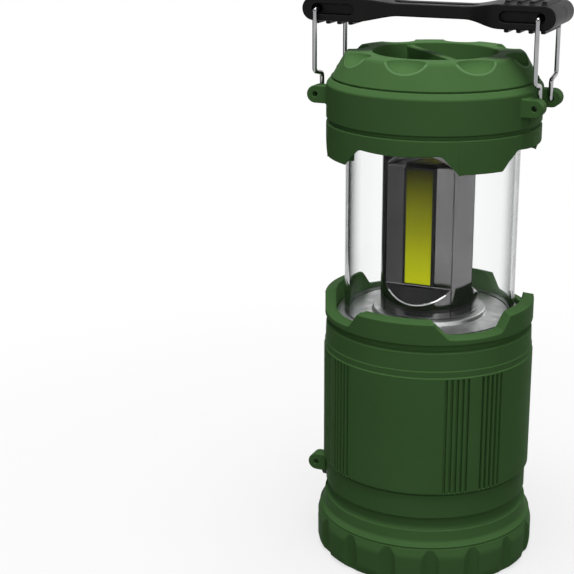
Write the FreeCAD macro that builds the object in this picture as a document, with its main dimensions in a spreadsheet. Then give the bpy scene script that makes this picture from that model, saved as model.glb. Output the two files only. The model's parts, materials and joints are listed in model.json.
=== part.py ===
import FreeCAD, Part
import math
import os
import types
import Sketcher

# A pull-up camping lantern with a spotlight in its foot.
# X runs along the grip, Y along the hinge wires of the handle with the front at -Y, and Z is up.
# The origin is the middle of the bezel's flat underside. All sizes are in millimetres and degrees.

DIMENSIONS = {
    # spotlight bezel and what it holds
    "bezel_radius": 44.4,
    "bezel_height": 22.8,
    "bezel_band": 12.4,
    "ridge_level": 16.1,
    "ridge_inset": 0.9,
    "ridge_line": 0.3,
    "ridge_height": 2.8,
    "ridge_top_inset": 2.1,
    "foot_inset": 2.0,
    "shoulder_inset": 3.1,
    "foot_rise": 1.2,
    "foot_run": 3.6,
    "edge_bevel": 1.0,
    "lip_thickness": 2.5,
    "lip_width": 12.4,
    "flute_count": 16,
    "flute_radius": 6.0,
    "flute_depth": 1.9,
    "flute_lean": 3.9,
    "lens_overlap": 3.5,
    "lens_thickness": 2.0,
    "lens_seal_thickness": 0.8,
    "lens_seal_width": 2.4,
    "reflector_flange": 1.2,
    "reflector_wall": 1.2,
    "bowl_inset": 0.8,
    "bowl_hole": 4.5,
    "emitter_radius": 2.5,
    "emitter_height": 1.6,
    "spot_board_radius": 10.0,
    "board_thickness": 1.6,
    # barrel
    "socket_wall": 6.4,
    "spigot_wall": 2.0,
    "neck_inset": 3.5,
    "neck_height": 16.0,
    "cove_radius": 2.9,
    "cove_depth": 1.9,
    "cove_rise": 2.5,
    "panel_inset": 2.4,
    "panel_height": 47.2,
    "shoulder_height": 11.0,
    "shoulder_step": 0.8,
    "shoulder_run": 3.85,
    "collar_groove": 2.0,
    "collar_groove_depth": 1.9,
    "collar_inset": 2.8,
    "collar_height": 8.8,
    "collar_wall": 4.4,
    "barrel_wall": 3.2,
    "partition_thickness": 5.0,
    "rib_groove_count": 5,
    "rib_groove_width": 1.1,
    "rib_groove_depth": 0.9,
    "rib_groove_pitch": 2.95,
    "rib_group_spread": 20.6,
    # castellated collar and skirt, four tabs each
    "tab_depth": 6.3,
    "tab_angle": 41.0,
    "flank_angle": 8.0,
    "fit_angle": 0.9,
    "rim_slope": 13.4,
    # slide
    "travel": 63.0,
    "closed_gap": 0.4,
    "clearance": 0.3,
    "seat_gap": 0.1,
    # lantern head
    "carrier_height": 5.4,
    "carrier_flange": 3.4,
    "carrier_hole": 10.0,
    "driver_board_radius": 19.7,
    "driver_board_seat": 1.2,
    "floor_drop": 0.5,
    "floor_thickness": 1.5,
    "wire_hole": 3.0,
    "plinth_step": 2.8,
    "plinth_height": 1.8,
    "tube_gap": 3.3,
    "tube_wall": 1.8,
    "column_wall": 3.4,
    "flat_wall": 1.95,
    "flat_rise": 11.7,
    "flat_length": 47.5,
    "ledge_angle": 48.0,
    "strip_width": 12.6,
    "strip_thickness": 1.2,
    "strip_margin": 0.6,
    # cells and contacts
    "cell_proud": 1.0,
    "cell_radius": 7.1,
    "cell_length": 49.3,
    "nub_radius": 2.7,
    "nub_height": 1.2,
    "cell_gap": 0.52,
    "cell_clearance": 0.5,
    "bay_core": 3.0,
    "contact_height": 4.5,
    "contact_thickness": 0.5,
    "contact_length": 6.0,
    "contact_width": 5.0,
    "rail_width": 3.0,
    "rail_thickness": 0.5,
    "rail_angle": 14.0,
    "wiper_width": 2.6,
    # cap
    "skirt_height": 13.5,
    "cap_groove_width": 1.0,
    "cap_groove_depth": 1.3,
    "cap_groove_bevel": 0.4,
    "band_height": 14.0,
    "crown_height": 2.1,
    "crown_inset": 1.7,
    "deck_depth": 10.0,
    "deck_thickness": 2.5,
    "deck_hole_gap": 1.2,
    # cover
    "cover_gap": 0.2,
    "cover_step": 0.3,
    "crown_wall": 3.6,
    "cover_height": 9.8,
    "cover_rim_inset": 5.1,
    "cover_rim_bevel": 0.8,
    "cover_land": 10.5,
    "recess_depth": 9.4,
    "recess_draft": 1.0,
    "cover_floor": 2.2,
    "cover_wall": 2.2,
    "plug_length": 7.5,
    "scallop_count": 8,
    "scallop_radius": 13.0,
    "scallop_land": 2.6,
    "scallop_angle": 22.5,
    "rib_thickness": 3.2,
    "rib_angle": 42.5,
    "boss_radius": 11.0,
    "cover_contact_reach": 5.5,
    "cover_contact_thickness": 0.8,
    "ring_section": 0.8,
    "ring_groove_depth": 1.2,
    # handle
    "lug_proud": 1.8,
    "lug_radius": 3.4,
    "lug_inner": 9.6,
    "lug_width": 6.0,
    "lug_drop": 7.1,
    "lug_root_depth": 4.3,
    "wire_radius": 0.9,
    "wire_bend": 1.4,
    "pin_clearance": 0.1,
    "pin_reach": 3.4,
    "leg_spread": 15.6,
    "bail_height": 32.6,
    "jog_low": 7.4,
    "jog_high": 8.9,
    "grip_overhang": 6.3,
    "block_thickness": 9.0,
    "block_width": 28.0,
    "block_length": 20.7,
    "waist_thickness": 4.8,
    "waist_width": 14.0,
    "waist_taper": 16.0,
    "grip_rib_count": 4,
    "grip_rib_pitch": 4.6,
    "grip_rib_width": 1.8,
    "grip_rib_height": 1.4,
    "grip_rib_length": 23.0,
    "slot_length": 13.0,
    "slot_radius": 2.0,
    "slot_depth": 2.5,
    "oval_overrun": 4.0,
    "oval_width": 5.0,
    "oval_depth": 0.8,
    # switch in the neck
    "plate_rise": 0.3,
    "plate_height": 13.7,
    "plate_proud": 0.7,
    "plate_thickness": 2.6,
    "plate_angle": 45.6,
    "base_lug_proud": 1.0,
    "base_lug_rise": 10.0,
    "button_rise": 4.8,
    "button_length": 17.0,
    "button_height": 5.4,
    "button_proud": 1.4,
    "button_depth": 3.0,
    "button_travel": 1.2,
    "button_clearance": 0.25,
    "rim_wall": 0.85,
    "rim_proud": 0.9,
    "rim_depth": 2.9,
    "stem_radius": 1.2,
    "stem_length": 2.8,
    "chamber_rise": 4.2,
    "chamber_height": 5.0,
    "chamber_width": 12.4,
    "chamber_depth": 6.0,
    "tact_size": 4.5,
    "tact_depth": 2.7,
    "switch_board_thickness": 1.2,
}

QUADRANT = math.degrees(math.pi / 2)
FULL_TURN = math.degrees(math.tau)
CELL_COUNT = 3
CELL_CORNER = 60.0
TAB_COUNT = 4
BOWL_STEPS = 8
TAPER_STEPS = 6
END_ANGLES = (90.0, 72.0, 54.0, 36.0, 18.0)
# How far cutters run past the faces that they cut
CUT_MARGIN = 1.0
FLUTE_OVERRUN = 5.0
NOTCH_OVERRUN = 6.0
SKIRT_OVERRUN = 4.0
# Smallest volume that counts as a cut, and how far a swept wire's volume may be off
LEAST_CUT = 1e-6
SWEEP_TOLERANCE = 0.01


class Size:
    """A length or angle with its present value and the sheet expression that gives it."""

    def __init__(self, value, text):
        self.value = float(value)
        self.text = text

    def __add__(self, other):
        other = as_size(other)
        return Size(self.value + other.value, f"({self.text} + {other.text})")

    def __sub__(self, other):
        other = as_size(other)
        return Size(self.value - other.value, f"({self.text} - {other.text})")

    def __mul__(self, other):
        other = as_size(other)
        return Size(self.value * other.value, f"({self.text} * {other.text})")

    def __truediv__(self, other):
        other = as_size(other)
        return Size(self.value / other.value, f"({self.text} / {other.text})")

    def __neg__(self):
        return Size(-self.value, f"(0 - {self.text})")

    def __radd__(self, other):
        return as_size(other) + self

    def __rsub__(self, other):
        return as_size(other) - self

    def __rmul__(self, other):
        return as_size(other) * self


def as_size(number):
    return number if isinstance(number, Size) else Size(number, repr(float(number)))


def sine(angle):
    angle = as_size(angle)
    return Size(math.sin(math.radians(angle.value)), f"sin({angle.text})")


def cosine(angle):
    angle = as_size(angle)
    return Size(math.cos(math.radians(angle.value)), f"cos({angle.text})")


def tangent(angle):
    angle = as_size(angle)
    return Size(math.tan(math.radians(angle.value)), f"tan({angle.text})")


def arc_tangent(ratio):
    return Size(math.degrees(math.atan(ratio.value)), f"atan({ratio.text}) / 1deg")


# The sheet of driving dimensions
doc = FreeCAD.newDocument("Lantern")
sheet = doc.addObject("Spreadsheet::Sheet", "Sizes")
for row, (alias, number) in enumerate(DIMENSIONS.items(), start=1):
    sheet.set(f"A{row}", alias)
    sheet.set(f"B{row}", str(number))
    sheet.setAlias(f"B{row}", alias)
doc.recompute()
d = types.SimpleNamespace(**{name: Size(number, f"Sizes.{name}") for name, number in DIMENSIONS.items()})
sub_parts = []

# Levels, from the foot up
bezel_top = d.bezel_height
panel_low = bezel_top + d.neck_height
panel_high = panel_low + d.panel_height
collar_low = panel_high + d.shoulder_height
collar_top = collar_low + d.collar_groove + d.collar_height
notch_floor = collar_top - d.tab_depth
lens_low = d.lip_thickness + d.lens_seal_thickness
flange_low = lens_low + d.lens_thickness
spigot_low = flange_low + d.reflector_flange
floor_top = notch_floor - d.floor_drop
floor_low = floor_top - d.floor_thickness
carrier_low = floor_low - d.carrier_height
stop_level = carrier_low + d.carrier_flange + d.clearance
partition_top = carrier_low - d.travel - d.clearance
partition_low = partition_top - d.partition_thickness
spot_board_low = partition_low - d.board_thickness
plinth_top = floor_top + d.plinth_height
flat_low = plinth_top + d.flat_rise
flat_high = flat_low + d.flat_length
closed_lift = d.travel + d.closed_gap
cap_low = notch_floor + closed_lift
skirt_notch = collar_top + closed_lift
cap_groove = cap_low + d.skirt_height
band_top = cap_groove + d.band_height
seam = band_top + d.crown_height
deck_top = seam - d.deck_depth
deck_low = deck_top - d.deck_thickness
cover_low = seam + d.cover_gap
cover_top = cover_low + d.cover_height
recess_floor = cover_top - d.recess_depth
cover_ceiling = recess_floor - d.cover_floor
cell_top = deck_low + d.cell_proud
cell_low = cell_top - d.nub_height - d.cell_length
bay_floor = cell_low - d.seat_gap - d.contact_height
cover_contact_low = cell_top + d.clearance
boss_low = cover_contact_low + d.cover_contact_thickness
lug_level = seam - d.lug_drop
crossbar_level = lug_level + d.bail_height

# Radii from the outside in: the shells follow the bezel
opening_radius = d.bezel_radius - d.lip_width
lens_radius = opening_radius + d.lens_overlap
bowl_radius = opening_radius - d.bowl_inset
bezel_foot = d.bezel_radius - d.foot_inset
bezel_shoulder = d.bezel_radius - d.shoulder_inset
ridge_radius = d.bezel_radius - d.ridge_inset
spigot_radius = d.bezel_radius - d.socket_wall
neck_radius = d.bezel_radius - d.neck_inset
panel_radius = d.bezel_radius - d.panel_inset
shoulder_radius = panel_radius - d.shoulder_step
cavity_radius = panel_radius - d.barrel_wall
collar_radius = d.bezel_radius - d.collar_inset
collar_bore = collar_radius - d.collar_wall
collar_groove_radius = collar_radius - d.collar_groove_depth
carrier_radius = cavity_radius - d.clearance
hub_radius = collar_bore - d.clearance
floor_radius = hub_radius - d.seat_gap
tube_radius = collar_bore - d.tube_gap
crown_radius = collar_radius - d.crown_inset
cover_radius = crown_radius - d.cover_step
cover_bore = cover_radius - d.crown_wall
plug_radius = cover_bore - d.clearance
cover_rim_radius = cover_radius - d.cover_rim_inset
recess_radius = cover_rim_radius - d.cover_land
scallop_start = recess_radius + d.scallop_land
plate_radius = neck_radius + d.plate_proud
chamber_floor = spigot_radius - d.chamber_depth
rim_face = plate_radius + d.rim_proud
button_face = plate_radius + d.button_proud
base_lug_reach = plate_radius + d.base_lug_proud
lug_reach = collar_radius + d.lug_proud
lug_root = collar_radius - d.lug_root_depth
slope = tangent(d.rim_slope)

# Radii from the inside out: the column follows the three cells
cell_offset = (d.cell_radius + d.cell_gap / 2) / cosine(CELL_CORNER / 2)
cell_reach = cell_offset + d.cell_radius
column_radius = cell_reach + d.cell_clearance + d.column_wall
plinth_radius = column_radius + d.plinth_step
flat_distance = cell_offset / 2 + d.cell_radius + d.cell_clearance + d.flat_wall
deck_hole = cell_reach + d.deck_hole_gap
cover_contact_radius = cell_offset + d.cover_contact_reach

# The grip, from its end inwards
grip_end = lug_reach + d.grip_overhang
block_start = grip_end - d.block_length
waist_end = block_start - d.waist_taper


# Helpers that draw and build

def new_body(label):
    body = doc.addObject("PartDesign::Body", label)
    body.Label = label
    sub_parts.append(body)
    return body


def origin_feature(body, role):
    for feature in body.Origin.OriginFeatures:
        if feature.Role == role:
            return feature
    raise ValueError(f"{body.Label} has no {role}")


def new_sketch(body, name, role, offset=None, turn=0.0):
    """Sketch on one of the body's own planes, moved along its normal and turned about Z."""
    sketch = body.newObject("Sketcher::SketchObject", name)
    sketch.AttachmentSupport = [(origin_feature(body, role), "")]
    sketch.MapMode = "FlatFace"
    distance = as_size(0 if offset is None else offset)
    upright = FreeCAD.Rotation(FreeCAD.Vector(0, 1, 0), turn)
    along = upright.multVec(FreeCAD.Vector(0, 0, 1))
    sketch.AttachmentOffset = FreeCAD.Placement(along * distance.value, upright)
    if offset is not None:
        for axis, share in (("x", along.x), ("z", along.z)):
            sketch.setExpression(f"AttachmentOffset.Base.{axis}", (distance * round(share, 9)).text)
    return sketch


def pin(sketch, geometry, position, x, y):
    """Hold a point of the sketch at x, y, measured from the origin."""
    for kind, place, axis in (("DistanceX", as_size(x), -2), ("DistanceY", as_size(y), -1)):
        if place.text == "0.0":
            sketch.addConstraint(Sketcher.Constraint("PointOnObject", geometry, position, axis))
            continue
        index = sketch.addConstraint(Sketcher.Constraint(kind, -1, 1, geometry, position, place.value))
        sketch.setExpression(f"Constraints[{index}]", place.text)


def set_radius(sketch, geometry, radius):
    radius = as_size(radius)
    index = sketch.addConstraint(Sketcher.Constraint("Radius", geometry, radius.value))
    sketch.setExpression(f"Constraints[{index}]", radius.text)


def draw_polygon(sketch, corners):
    """Closed outline of straight lines through the corners."""
    first = sketch.GeometryCount
    count = len(corners)
    points = [FreeCAD.Vector(as_size(x).value, as_size(y).value, 0) for x, y in corners]
    for i in range(count):
        sketch.addGeometry(Part.LineSegment(points[i], points[(i + 1) % count]), False)
    for i in range(count):
        sketch.addConstraint(Sketcher.Constraint("Coincident", first + i, 2, first + (i + 1) % count, 1))
    for i, (x, y) in enumerate(corners):
        pin(sketch, first + i, 1, x, y)


def draw_box(sketch, x_low, x_high, y_low, y_high):
    draw_polygon(sketch, [(x_low, y_low), (x_high, y_low), (x_high, y_high), (x_low, y_high)])


def draw_circle(sketch, x, y, radius):
    centre = FreeCAD.Vector(as_size(x).value, as_size(y).value, 0)
    circle = Part.Circle(centre, FreeCAD.Vector(0, 0, 1), as_size(radius).value)
    geometry = sketch.addGeometry(circle, False)
    pin(sketch, geometry, 3, x, y)
    set_radius(sketch, geometry, radius)


def draw_stadium(sketch, x_low, x_high, y, radius):
    """Slot outline along the sketch's X, between the centres of its two round ends."""
    x_low, x_high, y, radius = as_size(x_low), as_size(x_high), as_size(y), as_size(radius)
    up = FreeCAD.Vector(0, radius.value, 0)
    low = FreeCAD.Vector(x_low.value, y.value, 0)
    high = FreeCAD.Vector(x_high.value, y.value, 0)
    normal = FreeCAD.Vector(0, 0, 1)
    half = math.pi / 2
    right = sketch.addGeometry(Part.ArcOfCircle(Part.Circle(high, normal, radius.value), -half, half), False)
    left = sketch.addGeometry(Part.ArcOfCircle(Part.Circle(low, normal, radius.value), half, 3 * half), False)
    top = sketch.addGeometry(Part.LineSegment(high + up, low + up), False)
    bottom = sketch.addGeometry(Part.LineSegment(low - up, high - up), False)
    for one, one_end, other, other_end in (
        (right, 2, top, 1), (top, 2, left, 1), (left, 2, bottom, 1), (bottom, 2, right, 1),
    ):
        sketch.addConstraint(Sketcher.Constraint("Tangent", one, one_end, other, other_end))
    pin(sketch, right, 3, x_high, y)
    pin(sketch, left, 3, x_low, y)
    set_radius(sketch, right, radius)


def draw_lug(sketch, side, root, reach, level, hole):
    """Ear with a round end and a hole; side is 1 towards +X and -1 towards -X."""
    root, reach = as_size(root) * side, as_size(reach) * side
    centre = FreeCAD.Vector(reach.value, level.value, 0)
    up = FreeCAD.Vector(0, d.lug_radius.value, 0)
    start = -math.pi / 2 if side > 0 else math.pi / 2
    circle = Part.Circle(centre, FreeCAD.Vector(0, 0, 1), d.lug_radius.value)
    end = sketch.addGeometry(Part.ArcOfCircle(circle, start, start + math.pi), False)
    back = FreeCAD.Vector(root.value, level.value, 0)
    first = sketch.addGeometry(Part.LineSegment(centre + up * side, back + up * side), False)
    base = sketch.addGeometry(Part.LineSegment(back + up * side, back - up * side), False)
    last = sketch.addGeometry(Part.LineSegment(back - up * side, centre - up * side), False)
    sketch.addConstraint(Sketcher.Constraint("Tangent", end, 2, first, 1))
    sketch.addConstraint(Sketcher.Constraint("Coincident", first, 2, base, 1))
    sketch.addConstraint(Sketcher.Constraint("Coincident", base, 2, last, 1))
    sketch.addConstraint(Sketcher.Constraint("Tangent", last, 2, end, 1))
    pin(sketch, end, 3, reach, level)
    set_radius(sketch, end, d.lug_radius)
    sketch.addConstraint(Sketcher.Constraint("Vertical", base))
    index = sketch.addConstraint(Sketcher.Constraint("DistanceX", -1, 1, base, 1, root.value))
    sketch.setExpression(f"Constraints[{index}]", root.text)
    draw_circle(sketch, reach, level, hole)


def bind(feature, name, size):
    feature.setExpression(name, as_size(size).text)


def turned(body, name, corners, angle=None):
    """Solid of revolution about Z from a profile of radius and height."""
    sketch = new_sketch(body, f"{name}_profile", "XZ_Plane")
    draw_polygon(sketch, corners)
    feature = body.newObject("PartDesign::Revolution", name)
    feature.Profile = sketch
    feature.ReferenceAxis = (sketch, ["V_Axis"])
    if angle is None:
        feature.Angle = FULL_TURN
    else:
        feature.Midplane = True
        bind(feature, "Angle", angle)
    doc.recompute()
    return feature


def grooved(body, name, corners, angle):
    """Cut of revolution about Z from a profile of radius and height."""
    sketch = new_sketch(body, f"{name}_profile", "XZ_Plane")
    draw_polygon(sketch, corners)
    return turn_cut(body, name, sketch, angle)


def turn_cut(body, name, sketch, angle):
    """Cut of a sketch turned about Z, half to each side of its plane."""
    feature = body.newObject("PartDesign::Groove", name)
    feature.Profile = sketch
    feature.ReferenceAxis = (sketch, ["V_Axis"])
    feature.Midplane = True
    bind(feature, "Angle", angle)
    finish_cut(body, feature)
    return feature


def padded(body, name, sketch, length, both_ways=False, back=False):
    feature = body.newObject("PartDesign::Pad", name)
    feature.Profile = sketch
    bind(feature, "Length", length)
    feature.Midplane = both_ways
    feature.Reversed = back
    doc.recompute()
    return feature


def pocketed(body, name, sketch, length, both_ways=False, back=False, taper=None):
    feature = body.newObject("PartDesign::Pocket", name)
    feature.Profile = sketch
    bind(feature, "Length", length)
    feature.Midplane = both_ways
    feature.Reversed = back
    if taper is not None:
        bind(feature, "TaperAngle", taper)
    finish_cut(body, feature)
    return feature


def finish_cut(body, feature):
    """Recompute a cut and make sure that it took something away."""
    doc.recompute()
    before = feature.BaseFeature.Shape.Volume
    if not feature.Shape.Volume < before - LEAST_CUT:
        raise RuntimeError(f"{body.Label}: {feature.Label} cuts nothing")


def around(body, name, features, count):
    """Repeat features evenly about Z."""
    pattern = body.newObject("PartDesign::PolarPattern", name)
    pattern.Originals = features
    pattern.Axis = (origin_feature(body, "Z_Axis"), [""])
    pattern.Angle = FULL_TURN
    if isinstance(count, Size):
        bind(pattern, "Occurrences", count)
    else:
        pattern.Occurrences = count
    body.Tip = pattern
    doc.recompute()
    return pattern


def place(feature, x, y, z, axis=(0, 0, 1), angle=0):
    """Bind a feature's place and its turn about one axis."""
    x, y, z, angle = as_size(x), as_size(y), as_size(z), as_size(angle)
    base = FreeCAD.Vector(x.value, y.value, z.value)
    feature.Placement = FreeCAD.Placement(base, FreeCAD.Rotation(FreeCAD.Vector(*axis), angle.value))
    for name, size in (("x", x), ("y", y), ("z", z)):
        feature.setExpression(f"Placement.Base.{name}", size.text)
    if angle.text != "0.0":
        feature.setExpression("Placement.Rotation.Angle", angle.text)


# Spotlight in the foot

def make_bezel():
    body = new_body("bezel")
    seat = lens_radius + d.clearance
    socket = spigot_radius + d.seat_gap
    turned(body, "ring", [
        (opening_radius, d.edge_bevel),
        (opening_radius + d.edge_bevel, 0),
        (bezel_foot, 0),
        (d.bezel_radius - d.edge_bevel / 2, d.foot_rise),
        (d.bezel_radius, d.foot_run),
        (d.bezel_radius, d.bezel_band),
        (ridge_radius, d.ridge_level - d.ridge_line),
        (ridge_radius - d.ridge_line, d.ridge_level),
        (ridge_radius, d.ridge_level + d.ridge_line),
        (d.bezel_radius - d.ridge_top_inset, d.ridge_level + d.ridge_height),
        (bezel_shoulder, bezel_top),
        (socket, bezel_top),
        (socket, spigot_low),
        (seat, spigot_low),
        (seat, d.lip_thickness),
        (opening_radius, d.lip_thickness),
    ])
    flute = body.newObject("PartDesign::SubtractiveCylinder", "flute")
    bind(flute, "Radius", d.flute_radius)
    bind(flute, "Height", d.bezel_height + 2 * FLUTE_OVERRUN)
    floor = d.bezel_radius - d.flute_depth - FLUTE_OVERRUN * tangent(d.flute_lean)
    centre = floor + d.flute_radius / cosine(d.flute_lean)
    place(flute, centre, 0, -FLUTE_OVERRUN, (0, 1, 0), d.flute_lean)
    finish_cut(body, flute)
    around(body, "flutes", [flute], d.flute_count)


def make_lens_seal():
    body = new_body("lens_seal")
    inner = lens_radius - d.lens_seal_width
    turned(body, "ring", [
        (inner, d.lip_thickness),
        (lens_radius, d.lip_thickness),
        (lens_radius, lens_low),
        (inner, lens_low),
    ])


def make_lens():
    body = new_body("lens")
    turned(body, "disc", [(0, lens_low), (lens_radius, lens_low), (lens_radius, flange_low), (0, flange_low)])


def make_reflector():
    """Parabolic bowl from its wide mouth to the hole for the emitter."""
    body = new_body("reflector")
    hole_level = spot_board_low - d.clearance
    depth = hole_level - flange_low
    spread = bowl_radius * bowl_radius - d.bowl_hole * d.bowl_hole
    inner = []
    outer = []
    for i in range(BOWL_STEPS + 1):
        radius = bowl_radius - (bowl_radius - d.bowl_hole) * (i / BOWL_STEPS)
        level = hole_level - depth * (radius * radius - d.bowl_hole * d.bowl_hole) / spread
        inner.append((radius, level))
        outer.append((radius + d.reflector_wall, level))
    rim = lens_radius - d.seat_gap
    flange = [(outer[0][0], spigot_low), (rim, spigot_low), (rim, flange_low)]
    turned(body, "bowl", inner + outer[:1:-1] + flange)


def make_spot_light():
    board = new_body("spot_board")
    turned(board, "disc", [
        (0, spot_board_low),
        (d.spot_board_radius, spot_board_low),
        (d.spot_board_radius, partition_low),
        (0, partition_low),
    ])
    chip = new_body("spot_emitter")
    tip = spot_board_low - d.emitter_height
    turned(chip, "dome", [
        (0, tip),
        (d.emitter_radius / 2, tip),
        (d.emitter_radius, tip + d.emitter_height / 2),
        (d.emitter_radius, spot_board_low),
        (0, spot_board_low),
    ])


# Barrel

def make_base_housing():
    body = new_body("base_housing")
    inner = spigot_radius - d.spigot_wall
    collar_inner_top = collar_top + (collar_radius - collar_bore) * slope
    turned(body, "barrel", [
        (inner, spigot_low),
        (spigot_radius, spigot_low),
        (spigot_radius, bezel_top),
        (neck_radius, bezel_top),
        (neck_radius, panel_low - d.edge_bevel / 2),
        (panel_radius, panel_low),
        (panel_radius, panel_high + d.shoulder_run),
        (shoulder_radius, collar_low - d.edge_bevel / 2),
        (collar_groove_radius, collar_low),
        (collar_groove_radius, collar_low + d.collar_groove),
        (collar_radius, collar_low + d.collar_groove + d.edge_bevel / 2),
        (collar_radius, collar_top),
        (collar_bore, collar_inner_top),
        (collar_bore, stop_level),
        (cavity_radius, stop_level),
        (cavity_radius, partition_top),
        (0, partition_top),
        (0, partition_low),
        (inner, partition_low),
    ])
    cut_cove(body)
    cut_collar_notches(body)
    cut_switch_window(body)
    cut_rib_grooves(body)


def cut_cove(body):
    """Round hollow that sets the neck off from the bezel."""
    sketch = new_sketch(body, "cove_profile", "XZ_Plane")
    centre = neck_radius - d.cove_depth + d.cove_radius
    draw_circle(sketch, centre, bezel_top + d.cove_rise, d.cove_radius)
    turn_cut(body, "cove", sketch, as_size(FULL_TURN))


def cut_collar_notches(body):
    """Four notches between the tabs, with a floor and flanks that rise inwards."""
    half_top = QUADRANT / 2 - d.tab_angle / 2
    top = collar_radius * sine(half_top)
    floor = collar_radius * sine(half_top - d.flank_angle)
    lean = (top - floor) / d.tab_depth
    sketch = new_sketch(body, "notch_outline", "XZ_Plane", collar_radius, QUADRANT / 2)
    draw_polygon(sketch, [
        (-floor, notch_floor),
        (floor, notch_floor),
        (top + lean * NOTCH_OVERRUN, collar_top + NOTCH_OVERRUN),
        (-top - lean * NOTCH_OVERRUN, collar_top + NOTCH_OVERRUN),
    ])
    notch = pocketed(body, "notch", sketch, collar_radius - collar_bore + NOTCH_OVERRUN, taper=-d.rim_slope)
    around(body, "notches", [notch], TAB_COUNT)


def cut_switch_window(body):
    """Window in the neck for the switch plate, and the chamber for the switch behind it."""
    low = bezel_top + d.plate_rise - d.seat_gap
    high = low + d.plate_height + d.seat_gap * 2
    back = cavity_radius - d.clearance - d.seat_gap * 2
    side_gap = arc_tangent(d.seat_gap / plate_radius) * 2
    grooved(body, "window", [
        (-d.bezel_radius, low),
        (-back, low),
        (-back, high),
        (-d.bezel_radius, high),
    ], d.plate_angle + side_gap)
    level = bezel_top + d.chamber_rise
    sketch = new_sketch(body, "chamber_outline", "YZ_Plane", -chamber_floor)
    half = d.chamber_height / 2
    draw_box(sketch, -d.chamber_width / 2, d.chamber_width / 2, level - half, level + half)
    pocketed(body, "chamber", sketch, cavity_radius - chamber_floor)


def cut_rib_grooves(body):
    """Upright grooves in the panel: two groups of five in each quadrant."""
    groove = body.newObject("PartDesign::SubtractiveBox", "rib_groove")
    bind(groove, "Length", d.rib_groove_depth * 2)
    bind(groove, "Width", d.rib_groove_width)
    bind(groove, "Height", d.panel_height)
    group = d.rib_groove_pitch * (d.rib_groove_count - 1)
    angle = QUADRANT / 2 - d.rib_group_spread / 2 - group / 2
    foot = panel_radius - d.rib_groove_depth
    half = d.rib_groove_width / 2
    place(
        groove,
        foot * cosine(angle) + half * sine(angle),
        foot * sine(angle) - half * cosine(angle),
        panel_low,
        (0, 0, 1),
        angle,
    )
    finish_cut(body, groove)
    many = body.newObject("PartDesign::MultiTransform", "rib_grooves")
    many.Originals = [groove]
    steps = []
    for name, span, count in (
        ("in_group", group, d.rib_groove_count),
        ("in_pair", d.rib_group_spread, as_size(2)),
        ("in_turn", as_size(FULL_TURN), as_size(TAB_COUNT)),
    ):
        step = body.newObject("PartDesign::PolarPattern", name)
        step.Axis = (origin_feature(body, "Z_Axis"), [""])
        bind(step, "Angle", span)
        bind(step, "Occurrences", count)
        steps.append(step)
    many.Transformations = steps
    body.Tip = many
    doc.recompute()


# Switch in the neck

def make_switch_plate():
    body = new_body("switch_plate")
    low = bezel_top + d.plate_rise
    inner = plate_radius - d.plate_thickness
    turned(body, "plate", [
        (-plate_radius, low),
        (-inner, low),
        (-inner, low + d.plate_height),
        (-plate_radius, low + d.plate_height),
    ], d.plate_angle)
    add_lugs(body, -1, plate_radius - d.lug_root_depth, base_lug_reach, bezel_top + d.base_lug_rise)
    sketch = new_sketch(body, "rim_hole_outline", "YZ_Plane", -inner + d.plate_thickness)
    draw_button_outline(sketch, d.button_clearance + d.rim_wall + d.seat_gap)
    pocketed(body, "rim_hole", sketch, d.plate_thickness * 3)


def add_lugs(body, side, root, reach, level):
    """A pair of ears with a hole along Y, either side of the middle."""
    hole = d.wire_radius + d.pin_clearance
    pads = []
    for name, offset in (("rear_lug", -d.lug_inner - d.lug_width), ("front_lug", d.lug_inner)):
        sketch = new_sketch(body, f"{name}_outline", "XZ_Plane", offset)
        draw_lug(sketch, side, root, reach, level, hole)
        pads.append(padded(body, name, sketch, d.lug_width))
    return pads


def draw_button_outline(sketch, grow):
    """The button's oval, grown all round; the sketch's X is the lantern's Y."""
    radius = d.button_height / 2
    half = d.button_length / 2 - radius
    draw_stadium(sketch, -half, half, bezel_top + d.button_rise, radius + grow)


def make_button_rim():
    body = new_body("button_rim")
    sketch = new_sketch(body, "rim_outline", "YZ_Plane", -rim_face)
    draw_button_outline(sketch, d.button_clearance + d.rim_wall)
    draw_button_outline(sketch, d.button_clearance)
    padded(body, "rim", sketch, d.rim_depth)


def make_button():
    body = new_body("button")
    sketch = new_sketch(body, "button_outline", "YZ_Plane", -button_face)
    draw_button_outline(sketch, as_size(0))
    padded(body, "cap", sketch, d.button_depth)
    stem = new_sketch(body, "stem_outline", "YZ_Plane", -button_face + d.button_depth)
    draw_circle(stem, 0, bezel_top + d.chamber_rise, d.stem_radius)
    padded(body, "stem", stem, d.stem_length)


def make_switch():
    level = bezel_top + d.chamber_rise
    half = d.tact_size / 2
    stem_end = button_face - d.button_depth - d.stem_length
    tact_face = stem_end - d.button_travel - d.seat_gap
    tact = new_body("tact_switch")
    sketch = new_sketch(tact, "case_outline", "YZ_Plane", -tact_face)
    draw_box(sketch, -half, half, level - half, level + half)
    padded(tact, "case", sketch, d.tact_depth)
    board = new_body("switch_board")
    face = new_sketch(board, "board_outline", "YZ_Plane", -tact_face + d.tact_depth)
    wide = d.chamber_width / 2 - d.seat_gap
    draw_box(face, -wide, wide, level - half, level + half)
    padded(board, "board", face, d.switch_board_thickness)


# Contacts between barrel and lantern head

def make_bar(label, angle, inner, outer, width, low, high):
    """Upright bar with its broad side across the radius at the given angle from +X."""
    body = new_body(label)
    sketch = new_sketch(body, "bar_outline", "XY_Plane", low)
    half = width / 2
    corners = []
    for radius, side in ((inner, -1), (outer, -1), (outer, 1), (inner, 1)):
        x = radius * cosine(angle) - half * side * sine(angle)
        y = radius * sine(angle) + half * side * cosine(angle)
        corners.append((x, y))
    draw_polygon(sketch, corners)
    padded(body, "bar", sketch, high - low)
    return body


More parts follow.
